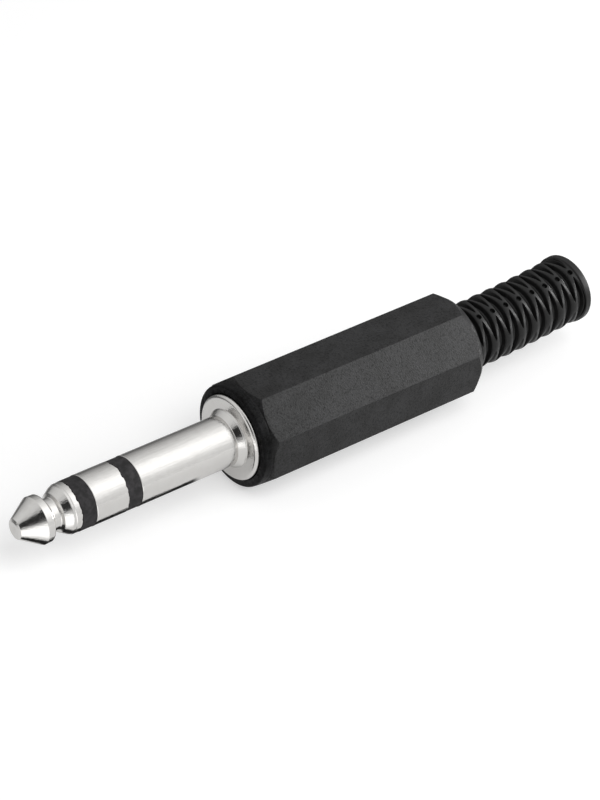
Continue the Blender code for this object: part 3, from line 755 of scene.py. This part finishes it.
handle = prism("handle_moulded", HANDLE_AT - CUT_MARGIN, HANDLE_END + CUT_MARGIN, CORNER, FLATS)
envelope = spin("handle_envelope", rounded([
    (HANDLE_AT, 0, 0),
    (HANDLE_AT, 6.45 * MM, 0.3 * MM),
    (HANDLE_AT + 1.22 * MM, 6.47 * MM, 0),
    (HANDLE_AT + 2.02 * MM, ENVELOPE_RADIUS, 0),
    (HANDLE_END - 1.7 * MM, ENVELOPE_RADIUS, 0),
    (HANDLE_END, 6.05 * MM, 0.25 * MM),
    (HANDLE_END, 0, 0),
]), ENVELOPE_SIDES)
thread_start = COLLAR_END + 0.3 * MM
thread_end = COLLAR_END + 7.1 * MM
bore_points = rounded([
    (HANDLE_AT - CUT_MARGIN, 0, 0),
    (HANDLE_AT - CUT_MARGIN, COLLAR_RECESS, 0),
    (COLLAR_END + SEAT_GAP, COLLAR_RECESS, 0),
    (COLLAR_END + SEAT_GAP, THREAD_BORE, 0),
    (thread_start, THREAD_BORE, 0),
])
bore_points += thread_points(thread_start, thread_end, THREAD_BORE)
bore_points += rounded([
    (thread_end, THREAD_BORE, 0),
    (thread_end + THREAD_RELIEF, CAVITY, 0),
    (REAR_WALL_AT, CAVITY, 0),
    (REAR_WALL_AT, NECK_HOLE, 0),
    (HANDLE_END + CUT_MARGIN, NECK_HOLE, 0),
    (HANDLE_END + CUT_MARGIN, 0, 0),
])
bore_thread = threaded(thread_start, thread_end, BORE_THREAD_DEPTH)
bore = spin("handle_bore", bore_points, BORE_SIDES, shift=bore_thread)
combine(handle, "INTERSECT", envelope)
combine(handle, "DIFFERENCE", bore)
make_plain(handle)
soften(handle, HANDLE_EDGE, HANDLE_EDGE_STEPS, HANDLE_EDGE_ANGLE)
make_plain(handle)
for cutter in (envelope, bore):
    bpy.data.objects.remove(cutter)
stand_for(handle, "handle", HANDLE)

# %% [markdown]
# The boot is a tube with rows of slots, three to a row. Each row is turned by half a step, so that
# the bridges of one row stand over the slots of the next and the tube can bend. Its outside isn't a
# plain cylinder: it dips towards the middle of each slot and swells over each bridge, which gives
# the boot its lumpy outline. A product of two cosines has that rule: it is 1 in the middle of every
# slot and -1 on every bridge.

# %% The boot's lumpy tube
boot_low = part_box("strain_relief_boot")[0]
BOOT_BORE = 3.4 * MM
BOOT_RADIUS = 4.33 * MM
BOOT_END_RADIUS = 4.48 * MM
BOOT_NECK = 4.1 * MM
BOOT_EXPOSED = 20.05 * MM
BOOT_BEND = math.radians(4.6)
BOOT_SHARP_ANGLE = math.radians(38)
BOOT_AT = HANDLE_END + FIT_GAP
BOOT_END = BOOT_AT + BOOT_EXPOSED
FLANGE_RADIUS = 4.9 * MM
FLANGE_AT = boot_low.x - TIP_X
FLANGE_END = REAR_WALL_AT - SEAT_GAP
LAST_SLOT_END = BOOT_AT + 18.94 * MM
BOOT_SIDES = 120
ROWS = 16
SLOTS_IN_ROW = 3
FIRST_ROW = 1.55 * MM
ROW_PITCH = 1.127 * MM
FIRST_SLOT_TURN = math.radians(112)
DIP = 0.3 * MM
DIP_FADE = 0.7 * MM
RING_SPACING = 0.25 * MM
SAME_RADIUS = 0.01 * MM


def dip(offset, turn):
    """How deep the outside lies this far from a row, and at this angle from its slot's middle."""
    wave = math.cos(math.pi * offset / ROW_PITCH) * math.cos(SLOTS_IN_ROW * turn)
    return DIP * (0.5 + 0.5 * wave)


def lumpy(place, radius, turn):
    """A shift for spin: the outside of the slotted length dips and swells."""
    inside = min(place - BOOT_AT, LAST_SLOT_END - place) / DIP_FADE
    if inside > 0 and abs(radius - BOOT_RADIUS) < SAME_RADIUS:
        radius -= min(inside, 1) * dip(place - BOOT_AT - FIRST_ROW, turn - FIRST_SLOT_TURN)
    return place, radius


slotted_rings = round((LAST_SLOT_END - BOOT_AT) / RING_SPACING)
tube_points = rounded([
    (BOOT_AT - FIT_GAP - 2 * MM, BOOT_NECK, 0),
    (BOOT_AT, BOOT_NECK, 0),
    (BOOT_AT, BOOT_RADIUS, 0.12 * MM),
    (BOOT_AT + RING_SPACING, BOOT_RADIUS, 0),
])
tube_points += [
    Vector((BOOT_AT + (LAST_SLOT_END - BOOT_AT) * i / slotted_rings, BOOT_RADIUS))
    for i in range(2, slotted_rings)
]
tube_points += rounded([
    (LAST_SLOT_END, BOOT_RADIUS, 0),
    (LAST_SLOT_END + 0.14 * MM, BOOT_END_RADIUS, 0.1 * MM),
    (BOOT_END, BOOT_END_RADIUS, 0.35 * MM),
    (BOOT_END, BOOT_BORE, 0.2 * MM),
    (FLANGE_AT, BOOT_BORE, 0.1 * MM),
    (FLANGE_AT, FLANGE_RADIUS, 0.15 * MM),
    (FLANGE_END, FLANGE_RADIUS, 0.15 * MM),
    (FLANGE_END, BOOT_NECK, 0),
])
tube = spin("strain_relief_boot_moulded", tube_points, BOOT_SIDES, closed=True, shift=lumpy)
print("tube length in mm:", round((BOOT_END - FLANGE_AT) / MM, 2))

# %% [markdown]
# The mould cuts a slot with a flat blade that tapers towards its tip, so a slot is widest in its
# middle and narrows to its ends. Near the tip it steps in to a thin fin, so that only a narrow slit
# goes right through, and daylight shows in few places. Where the blade leaves the tube it flares,
# which rounds the slot's rim. The rim follows the lumpy outside, so the blade is laid out section
# by section round the axis.

# %% The blade
BLADE_TIP_HEIGHT = 2.74 * MM
BLADE_TIP_WIDTH = 0.12 * MM
BLADE_DRAFT = 0.52
BLADE_LEAST = 0.004 * MM
BLADE_HALF_TURN = math.acos(BLADE_TIP_HEIGHT / (BOOT_RADIUS + BLADE_LEAST))
BLADE_SECTIONS = 24
FIN_WIDTH = 0.16 * MM
FIN_FOOT = 3.6 * MM
FIN_SHARE = (0.15, 0.6)
FIN_TAPER = 0.9
FIN_STEP = 0.1
FIN_MOST = 0.6
NARROWEST = 0.02 * MM
RIM_ROUND = 0.1 * MM
RIM_SHARE = 0.9
RIM_STEPS = 4
BLADE_OUTSIDE = 0.4 * MM


def blade_half_width(radius, turn):
    height = radius * math.cos(turn)
    return max(BLADE_TIP_WIDTH + BLADE_DRAFT * (height - BLADE_TIP_HEIGHT), NARROWEST) / 2


def blade_section(turn):
    """One side of the blade at this angle from its middle: (half width, radius), tip first."""
    tip = BLADE_TIP_HEIGHT / math.cos(turn)
    edge = blade_half_width(BOOT_RADIUS, turn)
    rim = max(BOOT_RADIUS - dip(edge, turn), tip + BLADE_LEAST)
    least, most = (tip + share * (rim - tip) for share in FIN_SHARE)
    foot = min(max(FIN_FOOT, least), most)
    rounding = min(RIM_ROUND, RIM_SHARE * (rim - foot))
    wide = blade_half_width(foot, turn)
    narrow = min(FIN_WIDTH / 2, FIN_MOST * wide)
    side = [
        (FIN_TAPER * narrow, tip - BLADE_LEAST),
        (narrow, foot - FIN_STEP * (foot - tip)),
        (wide, foot),
    ]
    for step in range(RIM_STEPS + 1):
        angle = math.pi / 2 * step / RIM_STEPS
        outwards = edge + rounding * (1 - math.cos(angle))
        side.append((outwards, rim - rounding * (1 - math.sin(angle))))
    side.append((edge + rounding, rim + BLADE_OUTSIDE))
    return side


def make_blade():
    """The blade at X = 0, pointing at the axis from +Z. The axis is X itself."""
    bm = bmesh.new()
    rings = []
    for i in range(BLADE_SECTIONS + 1):
        turn = BLADE_HALF_TURN * (2 * i / BLADE_SECTIONS - 1)
        side = blade_section(turn)
        loop = [(-width, radius) for width, radius in side] + side[::-1]
        rings.append([bm.verts.new((x, -r * math.sin(turn), r * math.cos(turn))) for x, r in loop])
    for first, second in zip(rings, rings[1:]):
        for j in range(len(first)):
            after = (j + 1) % len(first)
            bm.faces.new((first[j], first[after], second[after], second[j]))
    bm.faces.new(rings[0])
    bm.faces.new(reversed(rings[-1]))
    bmesh.ops.recalc_face_normals(bm, faces=bm.faces)
    return mesh_object("slot_blade", bm)


blade = make_blade()
print("blade:", count_triangles(blade), "triangles")

# %% [markdown]
# Geometry Nodes place the blade on every point of the pattern, cut all the copies from the tube,
# and bend the result. The tree has named inputs for its sizes. A modifier stores an input under the
# socket's identifier, so the values are set through a table from name to identifier, before
# anything is evaluated.

# %% Geometry Nodes tree of the boot
SOCKETS = {float: "NodeSocketFloat", int: "NodeSocketInt", bpy.types.Object: "NodeSocketObject"}
BOOT_SIZES = {
    "Blade": blade,
    "Rows": ROWS,
    "Slots in a row": SLOTS_IN_ROW,
    "First row": FIRST_ROW,
    "Row pitch": ROW_PITCH,
    "First slot turn": FIRST_SLOT_TURN,
    "Dimple radius": 0.36 * MM,
    "Dimple depth": 0.45 * MM,
    "Bend radius": BOOT_EXPOSED / BOOT_BEND,
}
DIMPLE_SIDES = 16
DIMPLE_MOUTH = 1.35
DIMPLE_FLOOR = 0.75
BEND_TOWARDS = Vector((0, 1, 1)).normalized()
BEND_AXIS = Vector((1, 0, 0)).cross(BEND_TOWARDS)


def boot_tree(material):
    tree = bpy.data.node_groups.new("slotted_boot", "GeometryNodeTree")
    for way in ("INPUT", "OUTPUT"):
        tree.interface.new_socket(name="Geometry", in_out=way, socket_type="NodeSocketGeometry")
    for name, value in BOOT_SIZES.items():
        tree.interface.new_socket(name=name, in_out="INPUT", socket_type=SOCKETS[type(value)])
    size = add_node(tree, "NodeGroupInput").outputs

    def sums(operation, *values):
        return math_of(tree, operation, *values)

    def vector(**parts):
        return add_node(tree, "ShaderNodeCombineXYZ", parts).outputs[0]

    def vectors(operation, inputs):
        return add_node(tree, "ShaderNodeVectorMath", inputs, operation=operation).outputs[0]

    # which row and which place in the row each point has
    number = add_node(tree, "GeometryNodeInputIndex").outputs[0]
    row = sums("FLOOR", sums("DIVIDE", sums("ADD", number, 0.5), size["Slots in a row"]), 0.0)
    odd = sums("MODULO", row, 2.0)
    step = sums("DIVIDE", 2 * math.pi, size["Slots in a row"])
    turn = sums("MULTIPLY", number, step)
    turn = sums("ADD", turn, sums("MULTIPLY", odd, sums("MULTIPLY", step, 0.5)))
    turn = sums("ADD", turn, size["First slot turn"])
    place = sums("ADD", sums("MULTIPLY", row, size["Row pitch"]), size["First row"])
    place = sums("ADD", place, TIP_X + BOOT_AT)
    count = sums("MULTIPLY", size["Rows"], size["Slots in a row"])
    points = add_node(tree, "GeometryNodePoints", {
        "Count": count, "Position": vector(X=place, Z=AXIS_Z),
    }).outputs[0]

    # a blade on every point, turned round the axis to its slot
    info = add_node(tree, "GeometryNodeObjectInfo", {"Object": size["Blade"]})
    blades = add_node(tree, "GeometryNodeInstanceOnPoints", {
        "Points": points, "Instance": info.outputs["Geometry"],
        "Rotation": vector(X=sums("SUBTRACT", turn, math.pi / 2)),
    }).outputs[0]

    # the dimples: an ejector mark on the bridge between two slots of every other row
    mark = add_node(tree, "GeometryNodeMeshCone", {
        "Vertices": DIMPLE_SIDES,
        "Radius Top": sums("MULTIPLY", size["Dimple radius"], DIMPLE_MOUTH),
        "Radius Bottom": sums("MULTIPLY", size["Dimple radius"], DIMPLE_FLOOR),
        "Depth": sums("MULTIPLY", size["Dimple depth"], 2.0),
    }).outputs["Mesh"]
    mark = add_node(tree, "GeometryNodeTransform", {
        "Geometry": mark,
        "Translation": vector(Z=sums("SUBTRACT", BOOT_RADIUS, size["Dimple depth"])),
    }).outputs[0]
    bridge = sums("SUBTRACT", sums("ADD", turn, sums("MULTIPLY", step, 0.5)), math.pi / 2)
    marks = add_node(tree, "GeometryNodeInstanceOnPoints", {
        "Points": points, "Selection": odd, "Instance": mark, "Rotation": vector(X=bridge),
    }).outputs[0]

    cutters = add_node(tree, "GeometryNodeJoinGeometry")
    for group in (marks, blades):
        tree.links.new(group, cutters.inputs[0])
    cutters = add_node(tree, "GeometryNodeRealizeInstances", {0: cutters.outputs[0]}).outputs[0]
    cut = add_node(tree, "GeometryNodeMeshBoolean", operation="DIFFERENCE", solver="EXACT")
    tree.links.new(size["Geometry"], cut.inputs["Mesh 1"])
    tree.links.new(cutters, cut.inputs["Mesh 2"])

    # the bend: each point behind the handle is drawn back to the handle's end, and then turned
    # about a hub that lies far to the side
    position = add_node(tree, "GeometryNodeInputPosition").outputs[0]
    behind = sums("SUBTRACT", axes_of(tree, position)["X"], TIP_X + BOOT_AT)
    along = sums("MAXIMUM", behind, 0.0)
    arm = vectors("SCALE", {0: BEND_TOWARDS, "Scale": size["Bend radius"]})
    bent = add_node(tree, "ShaderNodeVectorRotate", {
        "Vector": vectors("SUBTRACT", {0: position, 1: vector(X=along)}),
        "Center": vectors("ADD", {0: arm, 1: at(BOOT_AT, 0, 0)}),
        "Axis": BEND_AXIS,
        "Angle": sums("DIVIDE", along, size["Bend radius"]),
    }, rotation_type="AXIS_ANGLE").outputs[0]
    result = add_node(tree, "GeometryNodeSetPosition", {
        "Geometry": cut.outputs["Mesh"], "Position": bent,
    }).outputs[0]
    result = add_node(tree, "GeometryNodeRealizeInstances", {0: result}).outputs[0]
    result = add_node(tree, "GeometryNodeSetMaterial", {0: result, "Material": material}).outputs[0]
    add_node(tree, "NodeGroupOutput", {0: result})
    return tree


slots = tube.modifiers.new("slots", "NODES")
slots.node_group = boot_tree(BOOT)
items = slots.node_group.interface.items_tree
identifiers = {item.name: item.identifier for item in items if item.in_out == "INPUT"}
for name, value in BOOT_SIZES.items():
    slots[identifiers[name]] = value
make_plain(tube)
bpy.data.objects.remove(blade)
tube.data.shade_smooth()
tube.data.set_sharp_from_angle(angle=BOOT_SHARP_ANGLE)
print("slots cut:", count_triangles(tube), "triangles")
stand_for(tube, "strain_relief_boot", BOOT)

# %% [markdown]
# Inside the handle are stamped and punched parts: the cable clamp, two solder tags and the two
# washers between them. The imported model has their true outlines, so each one here is a copy of it.
# Its loose triangles are merged, flat areas become single faces again, and Bevel gives the sheet
# the soft edge that a punch leaves.

# %% Stamped and punched parts
STAMPED = {"cable_clamp": TIN, "ring_lug": TIN, "tip_lug": TIN}
PUNCHED = {"clamp_insulating_washer": FIBRE, "lug_spacer_washer": FIBRE}
PUNCHED_EDGE = 0.05 * MM
PUNCHED_EDGE_STEPS = 2
PUNCHED_EDGE_ANGLE = math.radians(30)
SAME_POINT = 1e-7
SAME_PLANE = math.radians(1)


def copy_of(node, name):
    source = frame["nodes"][node]
    bm = bmesh.new()
    bm.from_mesh(source.data)
    bmesh.ops.transform(bm, matrix=source.matrix_world, verts=bm.verts)
    bmesh.ops.remove_doubles(bm, verts=bm.verts, dist=SAME_POINT)
    bmesh.ops.dissolve_limit(bm, angle_limit=SAME_PLANE, verts=bm.verts, edges=bm.edges)
    return mesh_object(name, bm)


for made, suffix in ((STAMPED, "_stamped"), (PUNCHED, "_punched")):
    for node, material in made.items():
        piece = copy_of(node, node + suffix)
        soften(piece, PUNCHED_EDGE, PUNCHED_EDGE_STEPS, PUNCHED_EDGE_ANGLE)
        make_plain(piece)
        stand_for(piece, node, material)

# %% [markdown]
# The camera stands where the photograph was taken from. Its place was fitted to the barrel's known
# diameter and length, and the handle's flats gave the turn about the axis.

# %% Camera
CAMERA_FROM_TIP = Vector((-152.25, -215.78, 224.33)) * MM
CAMERA_LOOK = Vector((0.5291, 0.5899, -0.61))
CAMERA_RIGHT = Vector((0.7807, -0.6201, 0.0775))
CAMERA_LENS_MM = 137.3

camera = bpy.data.objects.new("camera", bpy.data.cameras.new("camera"))
bpy.context.scene.collection.objects.link(camera)
look = CAMERA_LOOK.normalized()
right = (CAMERA_RIGHT - CAMERA_RIGHT.dot(look) * look).normalized()
turned_to = Matrix((right, right.cross(look), -look)).transposed()
camera.matrix_world = Matrix.Translation(at(0, 0, 0) + CAMERA_FROM_TIP) @ turned_to.to_4x4()
camera.data.lens = CAMERA_LENS_MM
camera.data.clip_start = 0.01
bpy.context.scene.camera = camera
print("camera at", [round(v, 4) for v in camera.location])

# %% [markdown]
# The plug lies on a wide pale table. A lit table alone would come out light grey, so its material
# adds a glow that only the camera and mirroring surfaces see. It lights nothing, and the soft
# shadow on the table stays.

# %% Table
TABLE_SIZE = 4.0
TABLE_GREY = 0.62
SEEN_GLOW = 0.48
MIRRORED_GLOW = 0.3


def plain_mesh(name, bm):
    """A staged object: part of the studio and not of the plug."""
    mesh = bpy.data.meshes.new(name)
    bm.to_mesh(mesh)
    bm.free()
    obj = bpy.data.objects.new(name, mesh)
    bpy.context.scene.collection.objects.link(obj)
    return obj


def white_table():
    material, tree, _ = new_material("white_table_top")
    rays = add_node(tree, "ShaderNodeLightPath").outputs
    mirrored = math_of(tree, "MAXIMUM", rays["Is Glossy Ray"], rays["Is Transmission Ray"])
    soft = math_of(tree, "MULTIPLY", mirrored, MIRRORED_GLOW)
    level = math_of(tree, "MULTIPLY_ADD", rays["Is Camera Ray"], SEEN_GLOW, soft)
    lit = add_node(tree, "ShaderNodeBsdfDiffuse", {"Color": grey(TABLE_GREY)})
    glow = add_node(tree, "ShaderNodeEmission", {"Strength": level})
    return surfaced(material, {0: lit.outputs[0], 1: glow.outputs[0]}, "ShaderNodeAddShader")


bm = bmesh.new()
bmesh.ops.create_grid(bm, x_segments=1, y_segments=1, size=TABLE_SIZE / 2)
table = plain_mesh("table", bm)
table.data.materials.append(white_table())
print("table of", TABLE_SIZE, "m")

# %% [markdown]
# The room round the table is white too, for the camera and in reflections. For dull surfaces it is
# dimmer, so that the lamps give the shapes their light and shade.

# %% White room
ROOM_LEVEL = 0.5

world = bpy.data.worlds.new("white_room")
bpy.context.scene.world = world
world.use_nodes = True
tree = world.node_tree
tree.nodes.clear()
rays = add_node(tree, "ShaderNodeLightPath").outputs
seen = math_of(tree, "MAXIMUM", rays["Is Camera Ray"], rays["Is Glossy Ray"])
seen = math_of(tree, "MAXIMUM", seen, rays["Is Transmission Ray"])
strength = add_node(tree, "ShaderNodeMix", {0: seen, 2: ROOM_LEVEL, 3: 1.0}, data_type="FLOAT")
background = add_node(tree, "ShaderNodeBackground", {
    "Color": grey(1), "Strength": strength.outputs[0],
})
add_node(tree, "ShaderNodeOutputWorld", {"Surface": background.outputs[0]})

# %% [markdown]
# Two lamps light the plug. The top lamp is wide and soft. No mirroring surface shows it, so it only
# gives dull surfaces their light. The side lamp stands far to the right. The barrel never mirrors
# that way, but the handle's grain does, and so do the thin edges of the boot: it makes the front
# flat the brightest.

# %% Lamps
LAMP_AWAY = 0.4
# the way to each lamp, its diameter, the radiance of its face, and whether mirrors show it
LAMPS = {
    "top_lamp": ((0.0, -0.5, 0.86), 0.3, 2.6, False),
    "side_lamp": ((0.85, -0.4, 0.34), 0.22, 7.9, True),
}


def soft_lamp(name, way, diameter, radiance, mirrored):
    """A round lamp. Its power follows from how bright its face is to look at."""
    way = Vector(way).normalized()
    turned_to = way.to_track_quat("Z", "Y").to_matrix().to_4x4()
    lamp = bpy.data.objects.new(name, bpy.data.lights.new(name, "AREA"))
    lamp.data.shape = "DISK"
    lamp.data.size = diameter
    lamp.data.energy = radiance * math.pi * math.pi * (diameter / 2) ** 2
    lamp.matrix_world = Matrix.Translation(way * LAMP_AWAY) @ turned_to
    lamp.visible_camera = False
    lamp.visible_glossy = mirrored
    bpy.context.scene.collection.objects.link(lamp)


for name, settings in LAMPS.items():
    soft_lamp(name, *settings)
print("lamps:", *LAMPS)

# %% [markdown]
# Bright metal shows the room more than it shows itself, so a photographer places paper round it:
# white where the metal should shine, dark where it needs an edge. The first is an arch of paper
# over the plug. It is dark at the foot of its far side, and brightens over the top to a white strip
# on the near side. The photograph shows that order on the barrel, from its top edge down. The left
# end of the arch, which the tip mirrors, is dimmer.

# %% Arch of paper
ARCH_RADIUS = 0.45
ARCH_HALF_LENGTH = 0.9
ARCH_STEPS = 48
# brightness at angles from the far side of the table (0) over the top (90) to the near side (180)
RIGHT_LEVELS = {
    0: 0.15, 14: 0.36, 30: 0.56, 46: 0.75, 62: 0.9, 80: 1.12,
    98: 1.6, 126: 1.68, 144: 1.25, 158: 0.95, 180: 0.85,
}
LEFT_LEVELS = {
    0: 0.45, 20: 0.66, 45: 0.84, 75: 0.86, 95: 0.6, 115: 0.35, 150: 0.35, 170: 0.8, 180: 0.9,
}
BLEND_HALF_WIDTH = 0.12


def only_mirrored(obj):
    obj.visible_camera = False
    obj.visible_diffuse = False
    obj.visible_shadow = False
    obj.visible_transmission = False


def strip(name, outline, half_length):
    """A sheet that follows the outline (pairs of Y and Z) and runs along X."""
    bm = bmesh.new()
    left = [bm.verts.new((-half_length, y, z)) for y, z in outline]
    right = [bm.verts.new((half_length, y, z)) for y, z in outline]
    for i in range(len(outline) - 1):
        bm.faces.new((left[i], right[i], right[i + 1], left[i + 1]))
    return plain_mesh(name, bm)


def arch_paper():
    material, tree, place = new_material("white_paper_arch")
    axes = axes_of(tree, place)
    angle = math_of(tree, "ARCTAN2", axes["Z"], axes["Y"])
    share = math_of(tree, "DIVIDE", angle, math.pi)
    brightest = max(RIGHT_LEVELS.values())
    greys = []
    for levels in (LEFT_LEVELS, RIGHT_LEVELS):
        ramp = add_node(tree, "ShaderNodeValToRGB", {0: share})
        ramp.color_ramp.interpolation = "B_SPLINE"
        steps = ramp.color_ramp.elements
        while len(steps) < len(levels):
            steps.new(0.5)
        for step, (degrees, level) in zip(steps, levels.items()):
            step.position = degrees / 180
            step.color = grey(level / brightest)
        greys.append(ramp.outputs[0])
    rightness = ranged(
        tree, axes["X"], -BLEND_HALF_WIDTH, BLEND_HALF_WIDTH, interpolation_type="SMOOTHSTEP",
    )
    return surfaced(material, {
        "Color": blend(tree, rightness, *greys), "Strength": brightest,
    }, "ShaderNodeEmission")


angles = [math.pi * i / ARCH_STEPS for i in range(ARCH_STEPS + 1)]
arch_outline = [(ARCH_RADIUS * math.cos(angle), ARCH_RADIUS * math.sin(angle)) for angle in angles]
arch = strip("paper_arch", arch_outline, ARCH_HALF_LENGTH)
arch.data.materials.append(arch_paper())
only_mirrored(arch)

# %% [markdown]
# Smaller cards finish the reflections. A dark sheet lies on the table behind the plug and darkens
# the barrel's top edge. A dark strip under the barrel is painted shadow: the barrel's underside
# mirrors it as the shade beneath the plug. White sheets lie and stand in front of the tip. A dark
# panel stands where the camera is, and gives the dark wedge on the tip. Their edges fade out.

# %% Cards
def card(name, centre, way, long_way, half_width, half_length, level, edge):
    """A card that faces way. Its level fades out over the outer share, edge, of its size."""
    long_axis = (long_way - long_way.project(way)).normalized()
    side = long_axis.cross(way.normalized())
    axes = Matrix((side * half_width, long_axis * half_length, way.normalized())).transposed()
    bm = bmesh.new()
    bmesh.ops.create_grid(bm, x_segments=1, y_segments=1, size=1)
    obj = plain_mesh(name, bm)
    obj.matrix_world = Matrix.Translation(Vector(centre)) @ axes.to_4x4()
    material, tree, place = new_material(name)
    size = add_node(tree, "ShaderNodeVectorMath", {0: place}, operation="ABSOLUTE")
    across = axes_of(tree, size.outputs[0])
    reach = math_of(tree, "MAXIMUM", across["X"], across["Y"])
    share = ranged(tree, reach, 1.0, 1.0 - edge, interpolation_type="SMOOTHSTEP")
    clear = add_node(tree, "ShaderNodeBsdfTransparent").outputs[0]
    glow = add_node(tree, "ShaderNodeEmission", {"Strength": level}).outputs[0]
    surfaced(material, {0: share, 1: clear, 2: glow}, "ShaderNodeMixShader")
    obj.data.materials.append(material)
    only_mirrored(obj)


UP = Vector((0, 0, 1))
ALONG_Y = Vector((0, 1, 0))
MIRRORED_BY_TIP = Vector((-0.53, -0.5, 0.685))
CAMERA_AWAY = 0.38
CAMERA_CENTRE = at(0, 0, 0) + CAMERA_AWAY * MIRRORED_BY_TIP
CAMERA_UPRIGHT = Vector((0.03, 0.8, 0.6))
# where each card is, the way it faces, its long way, its half width and half length, level and edge
CARDS = {
    "dark_sheet_behind": ((0.1, 0.256, 0.0006), UP, ALONG_Y, 0.6, 0.244, 0.15, 0.06),
    # painted shadow: a dark strip where the table under the barrel lies in shade, seen only in
    # reflections
    "dark_strip_below": ((TIP_X + 0.0125, -0.0023, 0.0008), UP, ALONG_Y, 0.0145, 0.0018, 0.02, 0.1),
    "white_sheet_lying": ((TIP_X - 0.0275, -0.057, 0.0004), UP, ALONG_Y, 0.0325, 0.0525, 1.7, 0.08),
    "white_sheet_standing": ((TIP_X - 0.068, -0.13, 0.014), ALONG_Y, UP, 0.06, 0.018, 1.6, 0.3),
    "camera_and_stand": (CAMERA_CENTRE, MIRRORED_BY_TIP, CAMERA_UPRIGHT, 0.1, 0.15, 0.03, 0.15),
}
for name, settings in CARDS.items():
    card(name, *settings)
print("cards:", *CARDS)

bpy.context.scene.view_settings.view_transform = "Standard"
print("studio ready")
